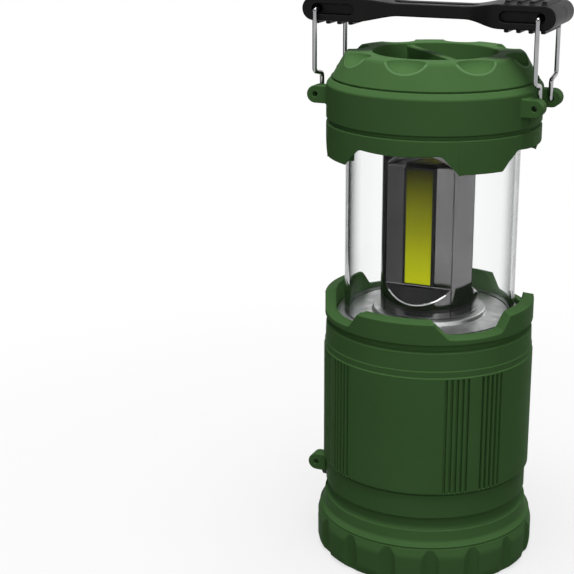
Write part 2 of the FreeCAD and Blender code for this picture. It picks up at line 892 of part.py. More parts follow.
def make_contacts():
    reach = cavity_radius - d.seat_gap / 2
    rail_face = reach - d.rail_thickness
    rail_top = stop_level - d.seat_gap
    for name, angle in (("left", QUADRANT + d.rail_angle), ("right", QUADRANT - d.rail_angle)):
        make_bar(f"rail_{name}", angle, rail_face, reach, d.rail_width, partition_top, rail_top)
        make_bar(
            f"wiper_{name}", angle, hub_radius, rail_face - d.seat_gap, d.wiper_width,
            carrier_low + d.seat_gap, carrier_low + d.carrier_flange,
        )


# Lantern head

def make_carrier():
    body = new_body("carrier")
    seat = d.driver_board_radius + d.seat_gap
    turned(body, "ring", [
        (d.carrier_hole, carrier_low),
        (carrier_radius, carrier_low),
        (carrier_radius, carrier_low + d.carrier_flange),
        (hub_radius, carrier_low + d.carrier_flange),
        (hub_radius, floor_low),
        (seat, floor_low),
        (seat, carrier_low + d.driver_board_seat),
        (d.carrier_hole, carrier_low + d.driver_board_seat),
    ])
    half = d.rail_width / 2 + d.clearance
    for name, angle in (("left", QUADRANT + d.rail_angle), ("right", QUADRANT - d.rail_angle)):
        sketch = new_sketch(body, f"{name}_gap_outline", "XY_Plane", carrier_low)
        corners = []
        for radius, side in ((hub_radius, -1), (cavity_radius, -1), (cavity_radius, 1), (hub_radius, 1)):
            x = radius * cosine(angle) - half * side * sine(angle)
            y = radius * sine(angle) + half * side * cosine(angle)
            corners.append((x, y))
        draw_polygon(sketch, corners)
        pocketed(body, f"{name}_gap", sketch, d.carrier_flange, back=True)
    board = new_body("driver_board")
    low = carrier_low + d.driver_board_seat
    turned(board, "disc", [
        (d.wire_hole, low),
        (d.driver_board_radius, low),
        (d.driver_board_radius, low + d.board_thickness),
        (d.wire_hole, low + d.board_thickness),
    ])


def make_floor_plate():
    body = new_body("floor_plate")
    turned(body, "plate", [
        (d.wire_hole, floor_low),
        (floor_radius, floor_low),
        (floor_radius, floor_top),
        (plinth_radius + d.edge_bevel / 2, floor_top),
        (plinth_radius, plinth_top),
        (d.wire_hole, plinth_top),
    ])


def make_tube():
    body = new_body("tube")
    inner = tube_radius - d.tube_wall
    top = deck_low - d.seat_gap
    turned(body, "wall", [(inner, floor_top), (tube_radius, floor_top), (tube_radius, top), (inner, top)])


def make_column():
    """Round column with three flats between sloping ledges, hollow for three cells."""
    body = new_body("column")
    turned(body, "post", [
        (0, plinth_top),
        (column_radius, plinth_top),
        (column_radius, deck_low),
        (0, deck_low),
    ])
    reach = column_radius + CUT_MARGIN
    drop = (reach - flat_distance) * tangent(d.ledge_angle)
    sketch = new_sketch(body, "flat_outline", "YZ_Plane")
    draw_polygon(sketch, [
        (-flat_distance, flat_low),
        (-reach, flat_low - drop),
        (-reach, flat_high + drop),
        (-flat_distance, flat_high),
    ])
    flat = pocketed(body, "flat", sketch, reach * 2, both_ways=True)
    around(body, "flats", [flat], CELL_COUNT)
    depth = deck_low - bay_floor
    core = new_sketch(body, "core_outline", "XY_Plane", bay_floor)
    draw_circle(core, 0, 0, d.bay_core)
    pocketed(body, "bay_core", core, depth, back=True)
    lobe_outline = new_sketch(body, "lobe_outline", "XY_Plane", bay_floor)
    draw_circle(lobe_outline, 0, cell_offset, d.cell_radius + d.cell_clearance)
    lobe = pocketed(body, "lobe", lobe_outline, depth, back=True)
    around(body, "lobes", [lobe], CELL_COUNT)


def make_strips():
    third = FULL_TURN / CELL_COUNT
    for i, name in enumerate(("front", "right", "left")):
        body = new_body(f"strip_{name}")
        sketch = new_sketch(body, "strip_outline", "XZ_Plane", flat_distance)
        half = d.strip_width / 2
        draw_box(sketch, -half, half, flat_low + d.strip_margin, flat_high - d.strip_margin)
        padded(body, "strip", sketch, d.strip_thickness)
        place(body, 0, 0, 0, angle=i * third)


def make_cells():
    """Three cells in a triangle, each on a folded leaf contact."""
    third = FULL_TURN / CELL_COUNT
    for i in range(CELL_COUNT):
        angle = QUADRANT + i * third
        cell = new_body(f"cell_{i + 1}")
        turned(cell, "can", [
            (0, 0),
            (d.cell_radius, 0),
            (d.cell_radius, d.cell_length),
            (d.nub_radius, d.cell_length),
            (d.nub_radius, d.cell_length + d.nub_height),
            (0, d.cell_length + d.nub_height),
        ])
        place(cell, cell_offset * cosine(angle), cell_offset * sine(angle), cell_low)
        leaf = new_body(f"cell_contact_{i + 1}")
        half = d.contact_length / 2
        gauge = d.contact_thickness
        sketch = new_sketch(leaf, "leaf_outline", "XZ_Plane")
        draw_polygon(sketch, [
            (-half, 0),
            (half, 0),
            (half, gauge * 2),
            (-half, d.contact_height),
            (-half, d.contact_height - gauge),
            (half - gauge * 2, gauge),
            (-half, gauge),
        ])
        padded(leaf, "leaf", sketch, d.contact_width, both_ways=True)
        place(leaf, cell_offset * cosine(angle), cell_offset * sine(angle), bay_floor, angle=as_size(angle))


# Cap and cover

def make_cap_shell():
    body = new_body("cap_shell")
    skirt_inner_low = cap_low + (collar_radius - collar_bore) * slope
    half_groove = d.cap_groove_width / 2
    bevel = d.cap_groove_bevel
    turned(body, "shell", [
        (collar_radius, cap_low),
        (collar_radius, cap_groove - half_groove - bevel),
        (collar_radius - d.cap_groove_depth, cap_groove - half_groove),
        (collar_radius - d.cap_groove_depth, cap_groove + half_groove),
        (collar_radius, cap_groove + half_groove + bevel),
        (collar_radius, band_top),
        (crown_radius, seam),
        (cover_bore, seam),
        (cover_bore, deck_top),
        (deck_hole, deck_top),
        (deck_hole, deck_low),
        (collar_bore, deck_low),
        (collar_bore, skirt_inner_low),
    ])
    cut_skirt_notches(body)
    pads = add_lugs(body, 1, lug_root, lug_reach, lug_level)
    around(body, "lugs", pads, 2)


def cut_skirt_notches(body):
    """Four notches that take the collar's tabs when the lantern is closed."""
    half_top = d.tab_angle / 2 + d.fit_angle
    ceiling = collar_radius * sine(half_top)
    mouth = collar_radius * sine(half_top + d.flank_angle)
    lean = (mouth - ceiling) / d.tab_depth
    sketch = new_sketch(body, "notch_outline", "XZ_Plane", collar_radius)
    draw_polygon(sketch, [
        (-ceiling, skirt_notch),
        (ceiling, skirt_notch),
        (mouth + lean * SKIRT_OVERRUN, cap_low - SKIRT_OVERRUN),
        (-mouth - lean * SKIRT_OVERRUN, cap_low - SKIRT_OVERRUN),
    ])
    length = collar_radius - collar_bore + SKIRT_OVERRUN * 2
    notch = pocketed(body, "notch", sketch, length, taper=d.rim_slope)
    around(body, "notches", [notch], TAB_COUNT)


def make_cover():
    """Conical cover with a plug, a deep recess with a finger rib, and scallops round its top edge."""
    body = new_body("cover")
    recess_foot = recess_radius - d.recess_draft
    hollow_inner = recess_radius + d.cover_wall
    hollow_outer = plug_radius - d.cover_wall
    turned(body, "dome", [
        (0, boss_low),
        (d.boss_radius, boss_low),
        (d.boss_radius, cover_ceiling),
        (hollow_inner, cover_ceiling),
        (hollow_inner, cover_low + d.cover_wall),
        (hollow_outer, cover_low + d.cover_wall),
        (hollow_outer, cover_low - d.plug_length),
        (plug_radius, cover_low - d.plug_length),
        (plug_radius, cover_low),
        (cover_radius, cover_low),
        (cover_rim_radius, cover_top - d.cover_rim_bevel),
        (cover_rim_radius - d.cover_rim_bevel, cover_top),
        (recess_radius, cover_top),
        (recess_foot, recess_floor),
        (0, recess_floor),
    ])
    cut_seal_groove(body)
    scallop = body.newObject("PartDesign::SubtractiveCylinder", "scallop")
    bind(scallop, "Radius", d.scallop_radius)
    length = cover_radius
    bind(scallop, "Height", length)
    start_x = scallop_start + d.scallop_radius * sine(d.scallop_angle)
    start_z = cover_top + d.scallop_radius * cosine(d.scallop_angle)
    place(scallop, start_x, 0, start_z, (0, 1, 0), QUADRANT + d.scallop_angle)
    finish_cut(body, scallop)
    around(body, "scallops", [scallop], d.scallop_count)
    add_finger_rib(body)


def cut_seal_groove(body):
    low = cover_low - d.plug_length / 2
    depth = plug_radius - d.ring_groove_depth
    reach = plug_radius + CUT_MARGIN
    grooved(body, "seal_groove", [
        (depth, low - d.ring_section),
        (reach, low - d.ring_section),
        (reach, low + d.ring_section),
        (depth, low + d.ring_section),
    ], as_size(FULL_TURN))


def add_finger_rib(body):
    """Bar across the recess for finger and thumb."""
    sketch = new_sketch(body, "finger_rib_outline", "XY_Plane", recess_floor)
    half_length = recess_radius + d.edge_bevel
    half_width = d.rib_thickness / 2
    corners = []
    for along, across in ((-1, -1), (1, -1), (1, 1), (-1, 1)):
        x = half_length * along * sine(d.rib_angle) + half_width * across * cosine(d.rib_angle)
        y = half_width * across * sine(d.rib_angle) - half_length * along * cosine(d.rib_angle)
        corners.append((x, y))
    draw_polygon(sketch, corners)
    padded(body, "finger_rib", sketch, d.recess_depth - d.edge_bevel)


def make_cover_seal():
    """Rubber ring of round section in the plug's groove."""
    ring = doc.addObject("Part::Torus", "cover_seal")
    ring.Label = "cover_seal"
    sub_parts.append(ring)
    section = d.ring_section - d.seat_gap
    bind(ring, "Radius2", section)
    bind(ring, "Radius1", cover_bore - section - d.seat_gap)
    place(ring, 0, 0, cover_low - d.plug_length / 2)


def make_cover_contact():
    body = new_body("cover_contact")
    turned(body, "disc", [
        (0, cover_contact_low),
        (cover_contact_radius, cover_contact_low),
        (cover_contact_radius, boss_low),
        (0, boss_low),
    ])


# Handle

def bent_path(points, bend):
    """Wire of straight runs joined by tangent arcs of one bend radius."""
    edges = []
    start = points[0]
    for before, corner, after in zip(points, points[1:], points[2:]):
        inward = (before - corner).normalize()
        outward = (after - corner).normalize()
        half = inward.getAngle(outward) / 2
        trim = bend / math.tan(half)
        arc_start = corner + inward * trim
        arc_end = corner + outward * trim
        middle_way = (inward + outward).normalize()
        arc_middle = corner + middle_way * (bend / math.sin(half) - bend)
        edges.append(Part.LineSegment(start, arc_start).toShape())
        edges.append(Part.Arc(arc_start, arc_middle, arc_end).toShape())
        start = arc_end
    edges.append(Part.LineSegment(start, points[-1]).toShape())
    return Part.Wire(edges)


def make_bail(label, side):
    """Wire bail: pins through the lugs from inside, legs that jog outwards, and a crossbar in the grip."""
    pin_tip = sheet.lug_inner + sheet.pin_reach
    leg = sheet.lug_inner - sheet.wire_bend
    half = [
        (pin_tip, 0),
        (leg, 0),
        (leg, sheet.jog_low),
        (sheet.leg_spread, sheet.jog_high),
        (sheet.leg_spread, sheet.bail_height),
    ]
    points = [FreeCAD.Vector(0, y, z) for y, z in half]
    points += [FreeCAD.Vector(0, -y, z) for y, z in reversed(half)]
    path = bent_path(points, sheet.wire_bend)
    section = Part.Circle(points[0], FreeCAD.Vector(0, 1, 0), sheet.wire_radius)
    bail = doc.addObject("Part::Feature", label)
    bail.Label = label
    bail.Shape = path.makePipeShell([Part.Wire(section.toShape())], True, True)
    bail.Placement.Base = FreeCAD.Vector(side * lug_reach.value, 0, lug_level.value)
    sub_parts.append(bail)
    wire_volume = math.pi * sheet.wire_radius ** 2 * path.Length
    if abs(bail.Shape.Volume / wire_volume - 1) > SWEEP_TOLERANCE:
        raise RuntimeError(f"{label} is not a clean sweep")


def smooth_taper(low, high, start, end):
    """Points of a smooth step from low to high between two places along the grip."""
    points = []
    for i in range(TAPER_STEPS + 1):
        share = i / TAPER_STEPS
        ease = share * share * (3 - 2 * share)
        points.append((start + (end - start) * share, low + (high - low) * ease))
    return points


def make_grip():
    """Moulded grip: thick ribbed blocks at the ends and a slim waist between them."""
    body = new_body("grip")
    thick = d.block_thickness / 2
    wide = d.block_width / 2
    end = grip_end
    upper = smooth_taper(d.waist_thickness / 2, thick, waist_end, block_start)
    upper += [(end - thick + thick * cosine(angle), thick * sine(angle)) for angle in END_ANGLES]
    lower_right = [(x, -z) for x, z in reversed(upper)]
    lower_left = [(-x, -z) for x, z in upper]
    upper_left = [(-x, z) for x, z in reversed(upper)]
    side = new_sketch(body, "side_outline", "XZ_Plane")
    draw_polygon(side, upper + lower_right + lower_left + upper_left)
    padded(body, "bar", side, d.block_width, both_ways=True)
    waist = smooth_taper(d.waist_width / 2, wide, waist_end, block_start)
    for name, way in (("rear_waist", 1), ("front_waist", -1)):
        sketch = new_sketch(body, f"{name}_outline", "XY_Plane")
        run = [(x, y * way) for x, y in waist]
        mirrored = [(-x, y * way) for x, y in reversed(waist)]
        rim = [(block_start, (wide + CUT_MARGIN) * way), (-block_start, (wide + CUT_MARGIN) * way)]
        draw_polygon(sketch, mirrored + run + rim)
        pocketed(body, name, sketch, d.block_thickness + CUT_MARGIN, both_ways=True)
    add_grip_ribs(body)
    cut_grip_holes(body)
    place(body, 0, 0, crossbar_level)


def add_grip_ribs(body):
    """Cross ribs on the top and underside of both blocks."""
    sketch = new_sketch(body, "grip_rib_outline", "XY_Plane")
    half = d.grip_rib_length / 2
    for i in range(int(d.grip_rib_count.value)):
        low = block_start + d.grip_rib_width / 2 + d.grip_rib_pitch * i
        draw_box(sketch, low, low + d.grip_rib_width, -half, half)
        draw_box(sketch, -low - d.grip_rib_width, -low, -half, half)
    padded(body, "grip_ribs", sketch, d.block_thickness + 2 * d.grip_rib_height, both_ways=True)


def cut_grip_holes(body):
    """Crossbar holes through the blocks, slots in their sides, and a shallow oval on top."""
    hole = d.wire_radius + d.pin_clearance
    holes = new_sketch(body, "crossbar_outline", "XZ_Plane")
    draw_circle(holes, -lug_reach, 0, hole)
    draw_circle(holes, lug_reach, 0, hole + d.pin_clearance)
    pocketed(body, "crossbar_holes", holes, d.block_width + CUT_MARGIN, both_ways=True)
    half = d.block_width / 2
    for name, offset, back in (("front_slots", half, False), ("rear_slots", -half, True)):
        slots = new_sketch(body, f"{name}_outline", "XZ_Plane", offset)
        inner = lug_reach - d.slot_length
        draw_stadium(slots, inner, lug_reach, 0, d.slot_radius)
        draw_stadium(slots, -lug_reach, -inner, 0, d.slot_radius)
        pocketed(body, name, slots, d.slot_depth, back=back)
    oval_half = waist_end + d.oval_overrun
    oval = new_sketch(body, "oval_outline", "XY_Plane", d.waist_thickness / 2 - d.oval_depth)
    radius = d.oval_width / 2
    draw_stadium(oval, radius - oval_half, oval_half - radius, 0, radius)
    pocketed(body, "oval", oval, d.oval_depth + d.block_thickness / 2, back=True)


def check_and_write():
    """Stop at any failed object, then write each sub-part to its own file."""
    doc.recompute()
    for item in doc.Objects:
        if "Invalid" in item.State or "Error" in item.State:
            raise RuntimeError(f"{item.Label} failed: {item.State}")
    os.makedirs("parts", exist_ok=True)
    for item in sub_parts:
        if item.Shape.isNull() or not item.Shape.isValid():
            raise RuntimeError(f"{item.Label} has no valid shape")
        if len(item.Shape.Solids) != 1:
            raise RuntimeError(f"{item.Label} has {len(item.Shape.Solids)} solids")
        item.Shape.exportStep(f"parts/{item.Label}.step")
        print(f"{item.Label}: {item.Shape.Volume / 1000:.2f} cm3")


make_bezel()
make_lens_seal()
make_lens()
make_reflector()
make_spot_light()
make_base_housing()
make_switch_plate()
make_button_rim()
make_button()
make_switch()
make_contacts()
make_carrier()
make_floor_plate()
make_tube()
make_column()
make_strips()
make_cells()
make_cap_shell()
make_cover()
make_cover_seal()
make_cover_contact()
make_bail("left_bail", -1)
make_bail("right_bail", 1)
make_grip()
check_and_write()
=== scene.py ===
import json
import math

import bpy
from mathutils import Matrix, Vector


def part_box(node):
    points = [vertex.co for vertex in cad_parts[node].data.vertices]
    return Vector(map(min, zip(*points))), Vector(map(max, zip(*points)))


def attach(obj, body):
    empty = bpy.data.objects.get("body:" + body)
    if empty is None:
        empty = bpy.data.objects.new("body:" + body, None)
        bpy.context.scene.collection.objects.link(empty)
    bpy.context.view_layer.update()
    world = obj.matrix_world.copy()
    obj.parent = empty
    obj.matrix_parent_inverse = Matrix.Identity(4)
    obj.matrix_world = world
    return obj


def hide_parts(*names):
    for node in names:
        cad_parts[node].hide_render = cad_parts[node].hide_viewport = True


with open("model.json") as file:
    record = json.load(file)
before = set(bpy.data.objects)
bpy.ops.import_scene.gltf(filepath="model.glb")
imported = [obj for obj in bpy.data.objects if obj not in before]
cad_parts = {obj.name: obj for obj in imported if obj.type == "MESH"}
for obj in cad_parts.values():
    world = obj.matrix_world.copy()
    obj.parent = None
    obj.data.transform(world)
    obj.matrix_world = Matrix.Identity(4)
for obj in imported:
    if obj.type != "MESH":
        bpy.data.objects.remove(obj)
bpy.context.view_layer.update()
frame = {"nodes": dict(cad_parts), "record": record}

# A camping lantern that pulls open.
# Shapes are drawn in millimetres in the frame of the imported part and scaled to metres.
# Vertices nearer than WELD merge, and a face looks along an axis if its normal has FACING of it.
MM = 0.001
WELD = 0.004 * MM
FACING = 0.9
record = frame["record"]
body_of = {node: body for body, nodes in record["behaviour"]["bodies"].items() for node in nodes}
slot_of = {part["node"]: part["material_slot"] for part in record["subparts"]}


def size_of(node):
    """Lowest and highest corner of a CAD node at rest, in millimetres."""
    low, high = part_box(node)
    return low / MM, high / MM


# Corners that the frame gives
barrel_low, barrel_high = size_of("base_housing")
tube_low, tube_high = size_of("tube")
column_low, column_high = size_of("column")
floor_low, floor_high = size_of("floor_plate")
cap_low, cap_high = size_of("cap_shell")
cover_low, cover_high = size_of("cover")
lens_low, lens_high = size_of("lens")
bowl_low, bowl_high = size_of("reflector")
plate_low, plate_high = size_of("switch_plate")
ring_low, ring_high = size_of("button_rim")
button_low, button_high = size_of("button")
bail_low, bail_high = size_of("right_bail")

# Fixed sizes that more than one piece needs
BEZEL_OVERHANG = 2.4
NECK_INSET = 3.5
PLATE_STEP = 0.7
PLATE_WALL = 2.6
COLLAR_WALL = 4.4
COLLAR_TOP = 107.8
NOTCH_FLOOR = 101.5
SKIRT_CEILING = 171.2
RIM_SLOPE = math.tan(math.radians(13.4))
TABS = 4
FLATS = 3
LUG_RADIUS = 3.4
WIRE_RADIUS = 0.9

# Ball that hollows the cover's edge
SCOOPS = 8
SCOOP_PLACE = 33.64
SCOOP_RISE = 2.2
SCOOP_RADIUS = 6.45
SCOOP_WIDTH = 1.25

# Sizes worked out from the frame
panel_radius = barrel_high.x
bezel_radius = panel_radius + BEZEL_OVERHANG
bezel_top = size_of("bezel")[1].z
neck_radius = bezel_radius - NECK_INSET
plate_radius = neck_radius + PLATE_STEP
plate_back = plate_radius - PLATE_WALL
button_level = (ring_low.z + ring_high.z) / 2
button_half = button_high.y - (button_high.z - button_low.z) / 2
ring_radius = ring_high.z - button_level
collar_radius = cap_high.y
collar_bore = collar_radius - COLLAR_WALL
cap_foot = cap_low.z
seam = cap_high.z
hinge_x = (bail_low.x + bail_high.x) / 2
hinge_z = bail_low.z + WIRE_RADIUS
bar_z = bail_high.z - WIRE_RADIUS


# Helpers for modelling

def select_only(*pieces):
    """Leave edit mode, select these pieces alone and make the first one active."""
    if bpy.context.object and bpy.context.object.mode != "OBJECT":
        bpy.ops.object.mode_set(mode="OBJECT")
    bpy.ops.object.select_all(action="DESELECT")
    for piece in pieces:
        piece.select_set(True)
    if pieces:
        bpy.context.view_layer.objects.active = pieces[0]


def pick(piece, kind, test):
    """Select the piece's VERT, EDGE or FACE elements that pass the test, and stay in edit mode."""
    bpy.ops.object.mode_set(mode="EDIT")
    bpy.ops.mesh.select_mode(type=kind)
    bpy.ops.mesh.select_all(action="DESELECT")
    bpy.ops.object.mode_set(mode="OBJECT")
    mesh = piece.data
    for element in {"VERT": mesh.vertices, "EDGE": mesh.edges, "FACE": mesh.polygons}[kind]:
        element.select = test(element)
    bpy.ops.object.mode_set(mode="EDIT")


def draw_outline(name, corners, closed=True, round_steps=4):
    """Outline through corners of x, y, z and perhaps a rounding, in millimetres; it stays in edit mode."""
    places = [Vector(corner[:3]) * MM for corner in corners]
    select_only()
    bpy.ops.mesh.primitive_plane_add(size=MM, location=places[0])
    piece = bpy.context.object
    piece.name = name
    piece.data.name = name
    bpy.ops.object.transform_apply(location=True, rotation=False, scale=False)
    bpy.ops.object.mode_set(mode="EDIT")
    bpy.ops.mesh.select_mode(type="VERT")
    bpy.ops.mesh.select_all(action="SELECT")
    bpy.ops.mesh.merge(type="CENTER")
    for before, after in zip(places, places[1:]):
        bpy.ops.mesh.extrude_region_move(TRANSFORM_OT_translate={"value": after - before})
    if closed:
        pick(piece, "VERT", lambda v: min((v.co - places[0]).length, (v.co - places[-1]).length) < WELD)
        bpy.ops.mesh.edge_face_add()
    for rounding in sorted({corner[3] for corner in corners if len(corner) > 3}):
        spots = [place for place, corner in zip(places, corners) if corner[3:] == (rounding,)]
        pick(piece, "VERT", lambda v: any((v.co - spot).length < WELD for spot in spots))
        bpy.ops.mesh.bevel(
            offset=rounding * MM,
            offset_type="OFFSET",
            segments=round_steps,
            affect="VERTICES",
        )
    return piece


def draw_face(name, corners):
    """Flat face with an outline through these corners; it stays in edit mode, selected all over."""
    piece = draw_outline(name, corners)
    bpy.ops.mesh.select_all(action="SELECT")
    bpy.ops.mesh.edge_face_add()
    return piece


def rectangle(low_across, high_across, low_up, high_up):
    """Corner pairs of a rectangle, one after the other."""
    return [(low_across, low_up), (high_across, low_up), (high_across, high_up), (low_across, high_up)]


def slot_outline(half_length, radius, steps=12):
    """Corner pairs of a slot about its middle: half circles at both ends of a line."""
    corners = []
    for side, start in ((1, -90), (-1, 90)):
        for i in range(steps + 1):
            angle = math.radians(start + 180 * i / steps)
            corners.append((side * half_length + radius * math.cos(angle), radius * math.sin(angle)))
    return corners


def close_seams(piece):
    """Merge doubled vertices, point the faces outwards and leave edit mode."""
    bpy.ops.mesh.select_all(action="SELECT")
    bpy.ops.mesh.remove_doubles(threshold=WELD)
    bpy.ops.mesh.normals_make_consistent(inside=False)
    bpy.ops.object.mode_set(mode="OBJECT")
    return piece


def turn(name, profile, steps=360, closed=True, round_steps=4):
    """Piece turned about Z from corners of radius, height and perhaps a rounding."""
    corners = [(corner[0], 0, *corner[1:]) for corner in profile]
    piece = draw_outline(name, corners, closed, round_steps)
    bpy.ops.mesh.select_all(action="SELECT")
    bpy.ops.mesh.spin(steps=steps, angle=math.tau, center=(0, 0, 0), axis=(0, 0, 1))
    return close_seams(piece)


def turn_part(name, inner, outer, low, high, half_angle):
    """Part of a ring about Z to both sides of -X, with its half angle in degrees."""
    start = math.radians(180 - half_angle)
    corners = []
    for radius, z in rectangle(inner, outer, low, high):
        corners.append((radius * math.cos(start), radius * math.sin(start), z))
    piece = draw_face(name, corners)
    bpy.ops.mesh.spin(steps=48, angle=math.radians(2 * half_angle), center=(0, 0, 0), axis=(0, 0, 1))
    return close_seams(piece)


def extrude_outline(name, corners, way):
    """Solid from a flat outline, drawn out along a vector in millimetres."""
    piece = draw_face(name, corners)
    bpy.ops.mesh.extrude_region_move(TRANSFORM_OT_translate={"value": Vector(way) * MM})
    return close_seams(piece)


def rod(name, start, end, radius, end_radius=None, sides=48):
    """Round bar or cone between two points, in millimetres."""
    start, end = Vector(start), Vector(end)
    along = end - start
    select_only()
    bpy.ops.mesh.primitive_cone_add(
        vertices=sides,
        radius1=radius * MM,
        radius2=(radius if end_radius is None else end_radius) * MM,
        depth=along.length * MM,
        location=(start + end) / 2 * MM,
        rotation=along.to_track_quat("Z", "Y").to_euler(),
    )
    piece = bpy.context.object
    piece.name = name
    bpy.ops.object.transform_apply(location=True, rotation=True, scale=True)
    return piece


def bend_wire(name, corners, radius):
    """Round wire along a route of corners, most of them with a rounding, in millimetres."""
    piece = draw_outline(name, corners, closed=False, round_steps=6)
    select_only(piece)
    bpy.ops.object.convert(target="CURVE")
    piece = bpy.context.object
    piece.data.bevel_depth = radius * MM
    piece.data.bevel_resolution = 4
    piece.data.use_fill_caps = True
    bpy.ops.object.convert(target="MESH")
    piece = bpy.context.object
    bpy.ops.object.mode_set(mode="EDIT")
    close_seams(piece)
    shade(piece)
    return piece


def turned_copies(piece, count, first=0):
    """Copies spread evenly about Z from a first angle in degrees, in place of the piece."""
    copies = []
    for i in range(count):
        select_only(piece)
        bpy.ops.object.duplicate()
        copy = bpy.context.object
        copy.rotation_euler.z = math.radians(first + 360 / count * i)
        bpy.ops.object.transform_apply(location=False, rotation=True, scale=False)
        copies.append(copy)
    select_only(piece)
    bpy.ops.object.delete()
    return copies


def join(pieces):
    select_only(*pieces)
    bpy.ops.object.join()
    return pieces[0]


def ring_of(piece, count, first=0):
    """Copies of the piece spread evenly about Z, joined to one mesh."""
    return join(turned_copies(piece, count, first))


def combine(piece, operation, tool):
    """Cut a tool from a piece, or add it, and delete the tool."""
    select_only(piece)
    bpy.ops.object.modifier_add(type="BOOLEAN")
    boolean = piece.modifiers[-1]
    boolean.operation = operation
    boolean.solver = "EXACT"
    boolean.object = tool
    bpy.ops.object.modifier_apply(modifier=boolean.name)
    select_only(tool)
    bpy.ops.object.delete()
    select_only(piece)
    bpy.ops.object.mode_set(mode="EDIT")
    bpy.ops.mesh.select_all(action="SELECT")
    bpy.ops.mesh.remove_doubles(threshold=WELD)
    bpy.ops.object.mode_set(mode="OBJECT")


def cut(piece, tool):
    combine(piece, "DIFFERENCE", tool)


def add(piece, tool):
    combine(piece, "UNION", tool)


def round_edges(piece, width, angle, steps=3):
    """Round the edges that are sharper than an angle."""
    select_only(piece)
    bpy.ops.object.modifier_add(type="BEVEL")
    bevel = piece.modifiers[-1]
    bevel.width = width * MM
    bevel.segments = steps
    bevel.limit_method = "ANGLE"
    bevel.angle_limit = math.radians(angle)
    bevel.use_clamp_overlap = False
    bpy.ops.object.modifier_apply(modifier=bevel.name)


def shade(piece):
    """Shade the piece smooth between its edges, with large faces kept true."""
    sharpest = 38
    select_only(piece)
    bpy.ops.object.shade_smooth_by_angle(angle=math.radians(sharpest))
    bpy.ops.object.modifier_add(type="WEIGHTED_NORMAL")
    weighted = piece.modifiers[-1]
    weighted.keep_sharp = True
    bpy.ops.object.modifier_apply(modifier=weighted.name)


def soften(piece, width, angle, steps=3):
    round_edges(piece, width, angle, steps)
    shade(piece)


def stand_for(piece, node, *finishes):
    """Let a piece take a CAD node's place, with its body and its finishes."""
    for finish in finishes:
        piece.data.materials.append(finish)
    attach(piece, body_of[node])
    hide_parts(node)


# Materials

